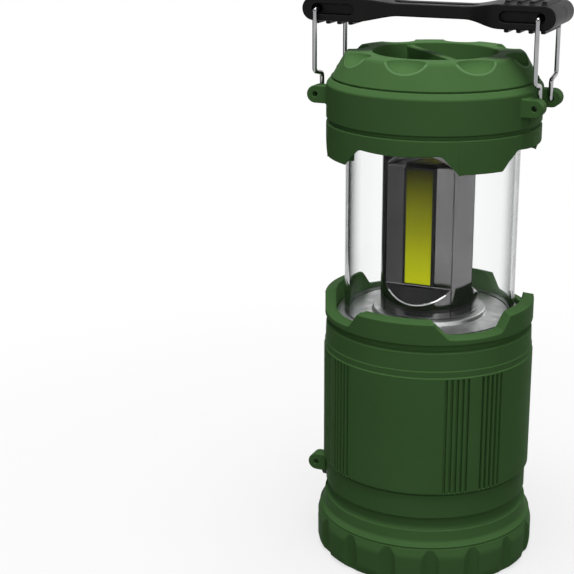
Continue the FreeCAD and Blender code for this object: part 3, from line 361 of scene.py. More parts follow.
class Finish:
    """A material with one Principled shader, and short ways to add nodes to it."""

    def __init__(self, name):
        self.material = bpy.data.materials.new(name)
        self.material.use_nodes = True
        self.nodes = self.material.node_tree.nodes
        self.links = self.material.node_tree.links
        self.shader = self.nodes["Principled BSDF"]
        self.output = self.nodes["Material Output"]
        self.place = self.nodes.new("ShaderNodeTexCoord").outputs["Object"]

    def set(self, **values):
        for name, value in values.items():
            self.shader.inputs[name.replace("_", " ")].default_value = value

    def feed(self, source, name):
        self.links.new(source, self.shader.inputs[name])

    def noise(self, scale, detail=3.0, stretch=None):
        """Noise over the piece's own place, with a scale in cells per metre."""
        texture = self.nodes.new("ShaderNodeTexNoise")
        texture.inputs["Scale"].default_value = scale
        texture.inputs["Detail"].default_value = detail
        place = self.place
        if stretch:
            mapping = self.nodes.new("ShaderNodeMapping")
            mapping.inputs["Scale"].default_value = stretch
            self.links.new(place, mapping.inputs["Vector"])
            place = mapping.outputs["Vector"]
        self.links.new(place, texture.inputs["Vector"])
        return texture.outputs["Fac"]

    def axes(self):
        """X, Y and Z of the piece's own place, in metres."""
        split = self.nodes.new("ShaderNodeSeparateXYZ")
        self.links.new(self.place, split.inputs["Vector"])
        return split.outputs

    def height(self):
        return self.axes()["Z"]

    def spread(self, source, low, high, from_low=0.3, from_high=0.7):
        """A number from low to high as the source goes from one value to another."""
        node = self.nodes.new("ShaderNodeMapRange")
        node.inputs["From Min"].default_value = from_low
        node.inputs["From Max"].default_value = from_high
        node.inputs["To Min"].default_value = low
        node.inputs["To Max"].default_value = high
        self.links.new(source, node.inputs["Value"])
        return node.outputs["Result"]

    def blend(self, source, stops):
        """Colour ramp over places from 0 to 1."""
        ramp = self.nodes.new("ShaderNodeValToRGB")
        elements = ramp.color_ramp.elements
        while len(elements) < len(stops):
            elements.new(0.5)
        for element, (place, colour) in zip(elements, stops):
            element.position = place
            element.color = (*colour, 1.0)
        self.links.new(source, ramp.inputs["Fac"])
        return ramp.outputs["Color"]

    def cloud(self, noise, dark, light):
        """Colour between a dark and a light tone, as the noise goes."""
        self.feed(self.blend(noise, [(0.3, dark), (0.7, light)]), "Base Color")

    def math(self, operation, first, second=None):
        """Outcome of an operation on a source and a second source or number."""
        node = self.nodes.new("ShaderNodeMath")
        node.operation = operation
        self.links.new(first, node.inputs[0])
        if isinstance(second, float):
            node.inputs[1].default_value = second
        elif second:
            self.links.new(second, node.inputs[1])
        return node.outputs[0]

    def vector_math(self, operation, first, second):
        """Outcome of an operation on a source and a vector."""
        node = self.nodes.new("ShaderNodeVectorMath")
        node.operation = operation
        self.links.new(first, node.inputs[0])
        node.inputs[1].default_value = second
        return node.outputs["Vector"]

    def length(self, source):
        node = self.nodes.new("ShaderNodeVectorMath")
        node.operation = "LENGTH"
        self.links.new(source, node.inputs[0])
        return node.outputs["Value"]

    def bump(self, source, depth):
        """Relief from a source, with its depth in millimetres."""
        node = self.nodes.new("ShaderNodeBump")
        node.inputs["Strength"].default_value = 1.0
        node.inputs["Distance"].default_value = depth * MM
        self.links.new(source, node.inputs["Height"])
        self.feed(node.outputs["Normal"], "Normal")

    def mix_shaders(self, share, first, second):
        mix = self.nodes.new("ShaderNodeMixShader")
        self.links.new(share, mix.inputs["Fac"])
        self.links.new(first, mix.inputs[1])
        self.links.new(second, mix.inputs[2])
        return mix.outputs["Shader"]

    def show(self, shader):
        self.links.new(shader, self.output.inputs["Surface"])

    def let_lamps_through(self, colour):
        """Mix in a clear shader for rays from lamps, so that they light what is behind."""
        path = self.nodes.new("ShaderNodeLightPath")
        clear = self.nodes.new("ShaderNodeBsdfTransparent")
        clear.inputs["Color"].default_value = (*colour, 1.0)
        whole = self.shader.outputs["BSDF"]
        self.show(self.mix_shaders(path.outputs["Is Shadow Ray"], whole, clear.outputs["BSDF"]))


def grey(level):
    return (level, level, level)


def moulded_plastic(name, dark, light, rough, grain_depth, grain=2600.0):
    """Moulded plastic with a fine spark-eroded grain, clouded colour and uneven gloss."""
    finish = Finish(name)
    finish.cloud(finish.noise(38.0, 4.0), dark, light)
    finish.feed(finish.spread(finish.noise(240.0), rough - 0.04, rough + 0.05), "Roughness")
    finish.bump(finish.noise(grain, 2.0), grain_depth)
    return finish


def bright_metal(name, dark, light, rough, grain_depth, grain, stretch=None):
    """Bare or metallised surface with a grain that may be drawn out along an axis."""
    finish = Finish(name)
    finish.set(Metallic=1.0)
    finish.cloud(finish.noise(90.0), dark, light)
    finish.feed(finish.spread(finish.noise(300.0, 3.0, stretch), rough * 0.7, rough * 1.3), "Roughness")
    finish.bump(finish.noise(grain, 2.0, stretch), grain_depth)
    return finish.material


def green_plastic(name):
    dark, light = (0.070, 0.160, 0.050), (0.078, 0.174, 0.057)
    finish = moulded_plastic(name, dark, light, rough=0.55, grain_depth=0.02)
    finish.set(Specular_IOR_Level=0.015)
    return finish


def make_cover_green():
    """The same plastic on the cover, with a painted highlight that makes it paler along the lips of its
    hollows.
    """
    # Painted highlight: a paler green along the lips of the hollows stands in for the light their edges
    # catch.
    lip_highlight = (0.145, 0.285, 0.115, 1)
    lip_width = 1.0
    crown = cover_high.z
    crown_low, crown_high = crown - 0.7, crown - 0.1
    sector = math.tau / SCOOPS
    finish = green_plastic("green_cover")
    axes = finish.axes()
    angle = finish.math("ARCTAN2", axes["Y"], axes["X"])
    nearest = finish.math("ROUND", finish.math("DIVIDE", angle, sector))
    turned = finish.nodes.new("ShaderNodeVectorRotate")
    turned.rotation_type = "Z_AXIS"
    finish.links.new(finish.place, turned.inputs["Vector"])
    finish.links.new(finish.math("MULTIPLY", nearest, -sector), turned.inputs["Angle"])
    centre = Vector((SCOOP_PLACE, 0, crown + SCOOP_RISE)) * MM
    offset = finish.vector_math("SUBTRACT", turned.outputs["Vector"], centre)
    offset = finish.vector_math("MULTIPLY", offset, (1, 1 / SCOOP_WIDTH, 1))
    hollow_edge, lip_edge = SCOOP_RADIUS * MM, (SCOOP_RADIUS + lip_width) * MM
    lip = finish.spread(finish.length(offset), 0, 1, hollow_edge, lip_edge)
    off, on = grey(0), grey(1)
    ring = finish.blend(lip, [(0.03, off), (0.06, on), (0.65, on), (0.85, off)])
    below = finish.spread(finish.height(), 1.0, 0.0, crown_low * MM, crown_high * MM)
    plain = finish.shader.inputs["Base Color"].links[0].from_socket
    mix = finish.nodes.new("ShaderNodeMixRGB")
    finish.links.new(finish.math("MULTIPLY", ring, below), mix.inputs["Fac"])
    finish.links.new(plain, mix.inputs["Color1"])
    mix.inputs["Color2"].default_value = lip_highlight
    finish.feed(mix.outputs["Color"], "Base Color")
    return finish.material


def make_black():
    finish = moulded_plastic("black_moulding", grey(0.005), grey(0.008), rough=0.45, grain_depth=0.02)
    finish.set(Specular_IOR_Level=0.14)
    return finish.material


def make_red():
    dark, light = (0.30, 0.008, 0.008), (0.38, 0.012, 0.010)
    finish = moulded_plastic("red_button", dark, light, rough=0.4, grain_depth=0.05, grain=900.0)
    finish.set(Specular_IOR_Level=0.12)
    return finish.material


def make_white():
    dark, light = (0.62, 0.62, 0.60), (0.70, 0.70, 0.69)
    return moulded_plastic("white_moulding", dark, light, rough=0.45, grain_depth=0.02).material


def make_rubber():
    dark, light = grey(0.008), grey(0.014)
    return moulded_plastic("black_rubber", dark, light, rough=0.75, grain_depth=0.03, grain=1800.0).material


def make_clear():
    """Clear tube and lens: faint smears in the gloss, and darker where the wall is seen edge on."""
    finish = Finish("clear_moulding")
    finish.set(Transmission_Weight=1.0, IOR=1.12, Coat_Weight=0.03, Coat_Roughness=0.02)
    weight = finish.nodes.new("ShaderNodeLayerWeight")
    face_on, turned, slanting, edge_on = grey(0.98), (0.95, 0.96, 0.96), (0.35, 0.36, 0.36), grey(0.12)
    tones = [(0.0, face_on), (0.5, turned), (0.72, slanting), (0.85, edge_on)]
    finish.feed(finish.blend(weight.outputs["Facing"], tones), "Base Color")
    finish.feed(finish.spread(finish.noise(60.0, 2.0), 0.0, 0.02), "Roughness")
    finish.let_lamps_through(turned)
    return finish.material


def make_dull_chrome():
    """Metallised column, with a slight lengthwise draw in its gloss."""
    dark, light = (0.155, 0.152, 0.155), (0.185, 0.182, 0.185)
    lengthwise = (1, 1, 0.08)
    return bright_metal("dull_chrome", dark, light, 0.07, 0.003, 700.0, lengthwise)


def make_satin_silver():
    """Metallised floor, paler and duller than the column."""
    dark, light = (0.58, 0.59, 0.585), (0.64, 0.65, 0.645)
    return bright_metal("satin_silver", dark, light, rough=0.42, grain_depth=0.002, grain=900.0)


def make_silvered():
    """Silvered bowl of the spotlight with its orange-peel facets; the column also wears it as a painted
    highlight along its lower ledges' edge.
    """
    dark, light = (0.74, 0.74, 0.75), (0.82, 0.82, 0.83)
    return bright_metal("silvered_bowl_and_highlight", dark, light, rough=0.12, grain_depth=0.55, grain=420.0)


def make_steel():
    """Drawn wire, with fine lines along its length."""
    dark, light = (0.33, 0.33, 0.34), (0.42, 0.42, 0.43)
    lengthwise = (1, 1, 0.05)
    return bright_metal("drawn_wire", dark, light, 0.16, 0.01, 3000.0, lengthwise)


def make_brass():
    dark, light = (0.60, 0.42, 0.16), (0.70, 0.50, 0.20)
    return bright_metal("contact_brass", dark, light, rough=0.28, grain_depth=0.01, grain=1500.0)


def make_jacket():
    """Cell jackets: dark wrap with a bright band at the top."""
    wrap, bright = (0.05, 0.05, 0.055), (0.60, 0.42, 0.18)
    band_height = 12.0 * MM
    blur = 0.2 * MM
    finish = Finish("cell_jacket")
    band_low = size_of("cell_1")[1].z * MM - band_height
    band = finish.spread(finish.height(), 0.0, 1.0, band_low, band_low + blur)
    finish.feed(finish.blend(band, [(0.4, wrap), (0.6, bright)]), "Base Color")
    finish.set(Metallic=0.6)
    finish.feed(finish.spread(finish.noise(400.0), 0.25, 0.35), "Roughness")
    return finish.material


def make_board():
    """Green circuit board with a lacquered, slightly mottled face."""
    dark, light = (0.008, 0.06, 0.03), (0.02, 0.10, 0.05)
    finish = Finish("circuit_board")
    finish.feed(finish.blend(finish.noise(500.0, 4.0), [(0.35, dark), (0.65, light)]), "Base Color")
    finish.set(Roughness=0.35)
    finish.bump(finish.noise(900.0), 0.02)
    return finish.material


def make_phosphor():
    """Yellow phosphor coat with painted shade that darkens it towards the top, where the cap shades it, and
    a fine pebbled face.
    """
    # Painted shade: the colour goes from bright at the bottom to nearly black at the top, standing in for
    # the cap's shadow.
    bottom, middle, top = (0.50, 0.545, 0.002), (0.235, 0.25, 0.002), (0.012, 0.0115, 0.001)
    finish = Finish("phosphor_coat")
    strip_low, strip_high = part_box("strip_front")
    rise = finish.spread(finish.height(), 0.0, 1.0, strip_low.z, strip_high.z)
    finish.feed(finish.blend(rise, [(0.0, bottom), (0.45, middle), (1.0, top)]), "Base Color")
    finish.feed(finish.spread(finish.noise(700.0), 0.42, 0.52), "Roughness")
    finish.set(Specular_IOR_Level=0.05)
    finish.bump(finish.noise(1500.0), 0.03)
    return finish.material


GREEN = green_plastic("green_moulding").material
COVER_GREEN = make_cover_green()
BLACK = make_black()
RED = make_red()
WHITE = make_white()
RUBBER = make_rubber()
CLEAR = make_clear()
CHROME = make_dull_chrome()
SATIN = make_satin_silver()
SILVERED_AND_HIGHLIGHT = make_silvered()
STEEL = make_steel()
BRASS = make_brass()
JACKET = make_jacket()
BOARD = make_board()
PHOSPHOR = make_phosphor()

FINISH_OF_SLOT = {
    "green_plastic": GREEN,
    "black_plastic": BLACK,
    "red_plastic": RED,
    "white_plastic": WHITE,
    "black_rubber": RUBBER,
    "clear_plastic": CLEAR,
    "metallised_plastic": CHROME,
    "steel_wire": STEEL,
    "contact_brass": BRASS,
    "cell_jacket": JACKET,
    "board": BOARD,
    "phosphor": PHOSPHOR,
}
for node, cad_object in frame["nodes"].items():
    for material_slot in cad_object.material_slots:
        material_slot.material = FINISH_OF_SLOT[slot_of[node]]


# Spotlight in the foot

def make_bezel():
    """Ring that screws over the foot, with a ridge, a fine line round it and sixteen leaning flutes."""
    flutes = 16
    lip = 3.5
    lens_play = 0.3
    seal = 0.8
    opening = lens_high.x - lip
    seat = lens_high.x + lens_play
    lip_top = lens_low.z - seal
    socket = 38.1
    foot = bezel_radius - 2.0
    chamfer = bezel_radius - 0.5
    chamfer_top = 1.2
    land_low, land_high = 3.6, 12.4
    ridge = bezel_radius - 0.9
    ridge_level = 16.1
    line = 0.4
    slope_end = bezel_radius - 2.5
    slope_top = ridge_level + 2.3
    top_edge = bezel_radius - 3.1
    bezel = turn("fluted_bezel", [
        (opening, 0, 0.8),
        (foot, 0, 0.6),
        (chamfer, chamfer_top, 0.5),
        (bezel_radius, land_low, 0.8),
        (bezel_radius, land_high, 1.0),
        (ridge, ridge_level - line, 0.1),
        (ridge - line, ridge_level, 0.1),
        (ridge, ridge_level + line, 0.1),
        (slope_end, slope_top, 0.6),
        (top_edge, bezel_top, 0.35),
        (socket, bezel_top),
        (socket, barrel_low.z),
        (seat, barrel_low.z),
        (seat, lip_top),
        (opening, lip_top, 0.4),
    ], steps=320)
    cut(bezel, ring_of(flute_cutter(), flutes))
    soften(bezel, 0.35, angle=24, steps=2)
    stand_for(bezel, "bezel", GREEN)


def flute_cutter():
    """Round bar that leans outwards and hollows one flute."""
    radius = 6.0
    depth = 1.9
    lean = math.radians(3.9)
    overrun = 5.0
    slide = math.tan(lean)
    foot = bezel_radius - depth + radius / math.cos(lean)
    low = (foot - overrun * slide, 0, -overrun)
    high = (foot + (bezel_top + overrun) * slide, 0, bezel_top + overrun)
    return rod("flute", low, high, radius, sides=96)


def make_lens():
    radius = lens_high.x
    lens = turn("spot_lens", [
        (0, lens_low.z),
        (radius, lens_low.z, 0.3),
        (radius, lens_high.z, 0.3),
        (0, lens_high.z),
    ], steps=180, closed=False)
    shade(lens)
    stand_for(lens, "lens", CLEAR)


def make_reflector():
    """Parabolic bowl with a flat flange under the lens."""
    rim = bowl_high.x
    mouth = 31.2
    hole = 4.5
    wall = 1.2
    flange_top = bowl_low.z + 1.2
    depth = bowl_high.z - bowl_low.z
    steps = 14
    inside = []
    for i in range(steps + 1):
        radius = mouth + (hole - mouth) * i / steps
        inside.append((radius, bowl_high.z - depth * (radius ** 2 - hole ** 2) / (mouth ** 2 - hole ** 2)))
    outside = [(radius + wall, height) for radius, height in reversed(inside[2:])]
    edge = [(mouth + wall, flange_top), (rim, flange_top), (rim, bowl_low.z)]
    bowl = turn("spot_reflector", inside + outside + edge, steps=180)
    shade(bowl)
    stand_for(bowl, "reflector", SILVERED_AND_HIGHLIGHT)


def make_emitter():
    """Domed chip at the bottom of the bowl."""
    low, high = size_of("spot_emitter")
    radius = high.x
    height = high.z - low.z
    dome = []
    for degrees in range(0, 90, 15):
        angle = math.radians(degrees)
        dome.append((radius * math.sin(angle), high.z - height * math.cos(angle)))
    chip = turn("spot_chip", dome + [(radius, high.z), (0, high.z)], steps=48, closed=False)
    shade(chip)
    stand_for(chip, "spot_emitter", PHOSPHOR)


# Barrel

def make_barrel():
    """Barrel with a cove, a neck, a grooved panel, a stepped shoulder and a castellated collar."""
    spigot = 38.0
    inner = 36.0
    partition_low, partition_top = 25.8, 30.8
    cavity = panel_radius - 3.2
    stop = 97.8
    panel_low, panel_high = bezel_top + 16.0, 86.0
    undercut = neck_radius - 0.9
    undercut_low, undercut_high = panel_low - 1.2, panel_low - 0.5
    panel_edge = panel_radius - 0.25
    step = panel_radius - 0.35
    step_low, step_high = panel_high + 0.7, panel_high + 3.0
    shoulder_low = panel_radius - 0.6
    shoulder_high = panel_radius - 0.8
    groove = collar_radius - 2.2
    groove_low, groove_high = 97.0, 99.0
    barrel = turn("barrel_shell", [
        (inner, barrel_low.z),
        (spigot, barrel_low.z),
        (spigot, bezel_top),
        *cove_outline(),
        (neck_radius, undercut_low - 0.2, 0.15),
        (undercut, undercut_low, 0.15),
        (undercut, undercut_high, 0.15),
        (panel_edge, undercut_high + 0.1, 0.12),
        (panel_radius, panel_low),
        (panel_radius, panel_high),
        (panel_radius, panel_high + 0.35, 0.12),
        (step, step_low, 0.12),
        (step, step_high, 0.12),
        (shoulder_low, step_high + 0.3, 0.12),
        (shoulder_high, groove_low - 0.6, 0.5),
        (groove, groove_low, 0.3),
        (groove, groove_high, 0.3),
        (collar_radius, groove_high + 0.5, 0.3),
        (collar_radius, COLLAR_TOP),
        (collar_bore, barrel_high.z),
        (collar_bore, stop),
        (cavity, stop),
        (cavity, partition_top),
        (0, partition_top),
        (0, partition_low),
        (inner, partition_low),
    ], steps=720, round_steps=3)
    cut(barrel, ring_of(collar_notch(), TABS, first=45))
    round_edges(barrel, 0.32, angle=32)
    sink_grooves(barrel, panel_low, panel_high)
    cut_switch_window(barrel)
    shade(barrel)
    stand_for(barrel, "base_housing", GREEN)


def cove_outline():
    """Arc of the hollow between bezel and neck, from its foot to the neck's lower edge."""
    radius = 2.9
    depth = 1.9
    centre_radius = neck_radius - depth + radius
    centre_level = bezel_top + 2.5
    start = math.acos((bezel_top - centre_level) / radius)
    end = math.asin((centre_radius - neck_radius) / radius)
    steps = 14
    points = []
    for i in range(steps + 1):
        angle = start + (end - start) * i / steps
        points.append((centre_radius - radius * math.sin(angle), centre_level + radius * math.cos(angle)))
    points[-1] = (*points[-1], 0.2)
    return points


def sink_grooves(barrel, low, high):
    """Press two groups of five upright grooves into each quarter of the panel."""
    half_width = 0.75
    pitch = 3.0
    group = 10.25
    depth = 1.3
    skin = 0.2
    quarter = 90
    centres = [quarter / 2 + side * group + pitch * i for side in (-1, 1) for i in range(-2, 3)]

    def in_groove(face):
        x, y, z = face.center / MM
        faces_inwards = face.normal.x * x + face.normal.y * y < 0
        if faces_inwards or not low < z < high or math.hypot(x, y) < panel_radius - skin:
            return False
        angle = math.degrees(math.atan2(y, x)) % quarter
        return any(abs(angle - centre) < half_width for centre in centres)

    select_only(barrel)
    pick(barrel, "FACE", in_groove)
    bpy.ops.mesh.extrude_region_shrink_fatten(TRANSFORM_OT_shrink_fatten={"value": -depth * MM})
    bpy.ops.object.mode_set(mode="OBJECT")


def collar_notch():
    """Cutter between two tabs of the collar; its floor and flanks rise towards the axis."""
    floor_half, top_half = half_chord(16.5), half_chord(24.5)
    overrun = 6.0
    return notch_cutter("collar_notch", floor_half, NOTCH_FLOOR, top_half, COLLAR_TOP, overrun, shrink=1)


def skirt_notch():
    """Cutter between two tabs of the cap's skirt; its ceiling rises towards the axis."""
    ceiling_half, mouth_half = half_chord(21.4), half_chord(29.4)
    overrun = -4.0
    return notch_cutter("skirt_notch", ceiling_half, SKIRT_CEILING, mouth_half, cap_foot, overrun, shrink=-1)


def half_chord(degrees):
    """Half the width across the collar's face, from the middle to an angle."""
    return collar_radius * math.sin(math.radians(degrees))


def notch_cutter(name, inner_half, inner_z, outer_half, outer_z, overrun, shrink):
    """Four-sided cutter across the wall at -Y with round inner corners, narrowed by the rim's slope."""
    lean = (outer_half - inner_half) / (outer_z - inner_z)
    end_half = outer_half + lean * overrun
    end_z = outer_z + overrun
    inner_round = 1.2
    faces = []
    for reach in (collar_radius + 3.0, collar_bore - 6.0):
        rise = (collar_radius - reach) * RIM_SLOPE
        narrow = rise * shrink
        faces.append(draw_face(name, [
            (-inner_half + narrow, -reach, inner_z + rise, inner_round),
            (inner_half - narrow, -reach, inner_z + rise, inner_round),
            (end_half - narrow, -reach, end_z),
            (-end_half + narrow, -reach, end_z),
        ]))
    cutter = join(faces)
    pick(cutter, "EDGE", lambda edge: True)
    bpy.ops.mesh.bridge_edge_loops()
    return close_seams(cutter)


def cut_switch_window(barrel):
    """Window in the neck that the switch plate fills, and the chamber behind it."""
    play = 0.1
    back_play = 0.3
    overrun = 1
    half_angle = 22.95
    low, high = plate_low.z - play, plate_high.z + play
    cut(barrel, turn_part("window", plate_back - back_play, bezel_radius + overrun, low, high, half_angle))
    chamber_back = -32.0
    chamber_depth = 8.0
    chamber_half = 6.2
    chamber_low, chamber_high = bezel_top + 1.7, bezel_top + 6.7
    outline = rectangle(-chamber_half, chamber_half, chamber_low, chamber_high)
    chamber = extrude_outline("chamber", [(chamber_back, y, z) for y, z in outline], (-chamber_depth, 0, 0))
    cut(barrel, chamber)


# Switch in the neck

def make_switch_plate():
    """Curved plate in the neck with two ears and the button's oval hole."""
    half_angle = 22.8
    lug_root = plate_radius - 3.4
    lug_reach = -plate_low.x - LUG_RADIUS
    lug_level = bezel_top + 10.0
    ring_play = 0.05
    hole_back, hole_front = -36.0, -44.0
    plate = turn_part("neck_plate", plate_back, plate_radius, plate_low.z, plate_high.z, half_angle)
    for way in (-1, 1):
        add(plate, lug_solid("base_lug", -1, lug_root, lug_reach, lug_level, way))
    cut(plate, oval_bar("rim_hole", ring_radius + ring_play, hole_back, hole_front))
    soften(plate, 0.3, angle=32)
    stand_for(plate, "switch_plate", GREEN)


def oval_bar(name, radius, start, end):
    """Oval bar about the button's middle, between two places in X."""
    outline = slot_outline(button_half, radius, steps=16)
    return extrude_outline(name, [(start, y, button_level + z) for y, z in outline], (end - start, 0, 0))


def lug_solid(name, side, root, reach, level, way):
    """Ear with a round end and a hole along Y; side gives its way in X and way its side in Y."""
    inner = 9.6
    width = 6.0
    hole_radius = 1.0
    overrun = 2
    outline = [(side * root, level - LUG_RADIUS)]
    for degrees in range(-90, 91, 10):
        angle = math.radians(degrees)
        x = side * (reach + LUG_RADIUS * math.cos(angle))
        outline.append((x, level + LUG_RADIUS * math.sin(angle)))
    outline.append((side * root, level + LUG_RADIUS))
    lug = extrude_outline(name, [(x, way * inner, z) for x, z in outline], (0, way * width, 0))
    hole_start = (side * reach, way * (inner - overrun), level)
    hole_end = (side * reach, way * (inner + width + overrun), level)
    cut(lug, rod("pin_hole", hole_start, hole_end, hole_radius))
    return lug


def make_button_ring():
    wall = 0.85
    overrun = 1
    ring = oval_bar("button_ring", ring_radius, ring_low.x, ring_high.x)
    cut(ring, oval_bar("ring_hole", ring_radius - wall, ring_low.x - overrun, ring_high.x + overrun))
    soften(ring, 0.25, angle=40)
    stand_for(ring, "button_rim", BLACK)


def make_button():
    """Oval push button with a softly crowned face and a stem to the switch."""
    radius = 2.7
    crown = 0.6
    cap_end = button_low.x + 3.0
    stem_radius = 1.2
    stem_level = bezel_top + 4.2
    stem_start = (cap_end - 0.5, 0, stem_level)
    button = oval_bar("push_button", radius, button_low.x, cap_end)
    pick(button, "FACE", lambda face: face.normal.x < -FACING)
    for inset in (0.8, 0.9):
        bpy.ops.mesh.inset(thickness=inset * MM, depth=0)
    bpy.ops.object.mode_set(mode="OBJECT")
    pick(button, "VERT", lambda v: on_face_edge(v.co / MM, radius))
    bpy.ops.transform.translate(value=(crown * MM, 0, 0))
    bpy.ops.object.mode_set(mode="OBJECT")
    add(button, rod("stem", stem_start, (button_high.x, 0, stem_level), stem_radius))
    soften(button, 0.2, angle=35)
    stand_for(button, "button", RED)


def on_face_edge(place, radius):
    """Whether a place is on the outer edge of the button's face."""
    near = 0.1
    over = max(abs(place.y) - button_half, 0)
    on_rim = math.hypot(over, place.z - button_level) > radius - near
    return on_rim and place.x < button_low.x + near


# Lantern head

def make_tube():
    radius = tube_high.x
    bore = radius - 1.8
    tube = turn("clear_tube", [
        (bore, tube_low.z, 0.3),
        (radius, tube_low.z, 0.3),
        (radius, tube_high.z, 0.3),
        (bore, tube_high.z, 0.3),
    ], steps=256)
    shade(tube)
    stand_for(tube, "tube", CLEAR)


def make_floor():
    """Bright floor under the tube with the round plinth of the column."""
    hole = 3.0
    radius = floor_high.x
    floor_top = tube_low.z
    plinth = column_high.x + 2.8
    plinth_foot = plinth + 0.5
    floor = turn("bright_floor", [
        (hole, floor_low.z),
        (radius, floor_low.z),
        (radius, floor_top, 0.2),
        (plinth_foot, floor_top, 0.2),
        (plinth, floor_high.z, 0.4),
        (hole, floor_high.z),
    ], steps=256)
    shade(floor)
    stand_for(floor, "floor_plate", SATIN)


def make_column():
    """Bright column with three flats between sloping ledges, hollow for the three cells, with a painted
    highlight along the lower ledges' edge.
    """
    radius = column_high.x
    flat = 13.8
    flat_low, flat_high = 114.5, 162.0
    ledge = math.tan(math.radians(48.0))
    column = turn("bright_column", [
        (0, column_low.z),
        (radius, column_low.z),
        (radius, column_high.z),
        (0, column_high.z),
    ], steps=240, closed=False)
    reach = radius + 1.0
    drop = (reach - flat) * ledge
    wedge = extrude_outline("flat_cutter", [
        (-reach, -flat, flat_low),
        (-reach, -reach, flat_low - drop),
        (-reach, -reach, flat_high + drop),
        (-reach, -flat, flat_high),
    ], (2 * reach, 0, 0))
    cut(column, ring_of(wedge, FLATS))
    hollow_cells(column)
    soften(column, 0.35, angle=32)
    stand_for(column, "column", CHROME, SILVERED_AND_HIGHLIGHT)
    # Painted highlight: the sloping bevel faces below the flats take the pale silvered finish, so that a
    # bright arc shows along the lower ledges.
    lower_edge = flat_low - 2.0
    for face in column.data.polygons:
        takes_edge_highlight = face.center.z < lower_edge * MM and 0.15 < face.normal.z < 0.6
        face.material_index = 1 if takes_edge_highlight else 0


def hollow_cells(column):
    """Cut the three cells' spaces and the core between them, open at the top."""
    cell_radius = 7.1
    space_radius = 7.6
    core_radius = 3.0
    low = size_of("cell_contact_1")[0].z
    high = column_high.z + 2
    offset = size_of("cell_1")[0].y + cell_radius
    space = rod("cell_space", (0, offset, low), (0, offset, high), space_radius)
    for copy in turned_copies(space, FLATS):
        cut(column, copy)
    cut(column, rod("core", (0, 0, low), (0, 0, high), core_radius))


def make_strips():
    """Light strips on the flats: a sunk phosphor field between dark edges, almost to the ends."""
    low, high = size_of("strip_front")
    border = 0.9
    end_border = 0.3
    slope = 0.15
    sink = 0.3
    height = high.z - low.z
    stretch = (height - 2 * end_border) / (height - 2 * border)
    outline = [(x, high.y, z) for x, z in rectangle(low.x, high.x, low.z, high.z)]
    for i, name in enumerate(("front", "right", "left")):
        strip = extrude_outline(f"light_strip_{name}", outline, (0, low.y - high.y, 0))
        pick(strip, "FACE", lambda face: face.normal.y < -FACING)
        bpy.ops.mesh.inset(thickness=border * MM, depth=0)
        bpy.ops.transform.resize(value=(1, 1, stretch))
        bpy.ops.mesh.inset(thickness=slope * MM, depth=-sink * MM)
        bpy.ops.object.mode_set(mode="OBJECT")
        stand_for(strip, f"strip_{name}", BLACK, PHOSPHOR)
        for face in strip.data.polygons:
            face.material_index = 1 if face.select else 0
        soften(strip, 0.12, angle=40, steps=2)
        strip.rotation_euler.z = math.tau / FLATS * i
        bpy.ops.object.transform_apply(location=False, rotation=True, scale=False)


# Cap, cover and handle

def make_cap():
    """Cap with a castellated skirt, a groove, a plain band, a bevelled crown and two pairs of ears."""
    groove = collar_radius - 1.3
    groove_level = cap_foot + 13.5
    groove_half = 0.5
    mouth_half = groove_half + 0.4
    band_top = seam - 2.1
    crown = collar_radius - 1.7
    bore = crown - 3.9
    deck_top = seam - 10.0
    deck_low = deck_top - 2.5
    deck_hole = 17.2
    inner_foot = cap_foot + COLLAR_WALL * RIM_SLOPE
    lug_root = collar_radius - 4.3
    cap = turn("cap_body", [
        (collar_radius, cap_foot),
        (collar_radius, groove_level - mouth_half, 0.3),
        (groove, groove_level - groove_half, 0.15),
        (groove, groove_level + groove_half, 0.15),
        (collar_radius, groove_level + mouth_half, 0.3),
        (collar_radius, band_top, 0.5),
        (crown, seam, 0.4),
        (bore, seam, 0.3),
        (bore, deck_top),
        (deck_hole, deck_top),
        (deck_hole, deck_low),
        (collar_bore, deck_low),
        (collar_bore, inner_foot),
    ], steps=360)
    cut(cap, ring_of(skirt_notch(), TABS))
    for side in (-1, 1):
        for way in (-1, 1):
            add(cap, lug_solid("cap_lug", side, lug_root, hinge_x, hinge_z, way))
    soften(cap, 0.4, angle=32)
    stand_for(cap, "cap_shell", GREEN)


def make_cover():
    """Conical battery cover with a plug, eight scallops and a finger rib left standing in its recess."""
    radius = cover_high.x
    low, top = seam + 0.2, cover_high.z
    rim = radius - 5.1
    rim_chamfer = 0.8
    recess = 24.0
    recess_floor = top - 9.4
    wall = 2.2
    ceiling = recess_floor - wall
    boss = 11.0
    plug = 35.7
    plug_low = low - 7.5
    seal_groove = plug - 1.2
    groove_low, groove_high = low - 4.55, low - 2.95
    cover = turn("scalloped_cover", [
        (0, cover_low.z),
        (boss, cover_low.z),
        (boss, ceiling),
        (recess + wall, ceiling),
        (recess + wall, low + wall),
        (plug - wall, low + wall),
        (plug - wall, plug_low),
        (plug, plug_low, 0.3),
        (plug, groove_low),
        (seal_groove, groove_low),
        (seal_groove, groove_high),
        (plug, groove_high),
        (plug, low),
        *cone_outline((radius, low, 0.3), (rim, top - rim_chamfer)),
        (rim - rim_chamfer, top),
        (0, top),
    ], steps=360, closed=False)
    cut(cover, recess_cutter(recess, recess_floor, top))
    round_edges(cover, 0.45, angle=24)
    cut(cover, ring_of(scoop_ball(), SCOOPS))
    shade(cover)
    stand_for(cover, "cover", COVER_GREEN)


def cone_outline(start, end):
    """Corners of a sloping line, closely spaced so that cuts in it shade cleanly."""
    steps = 14
    corners = [start]
    for i in range(1, steps):
        share = i / steps
        corners.append((start[0] + (end[0] - start[0]) * share, start[1] + (end[1] - start[1]) * share))
    return corners + [end]


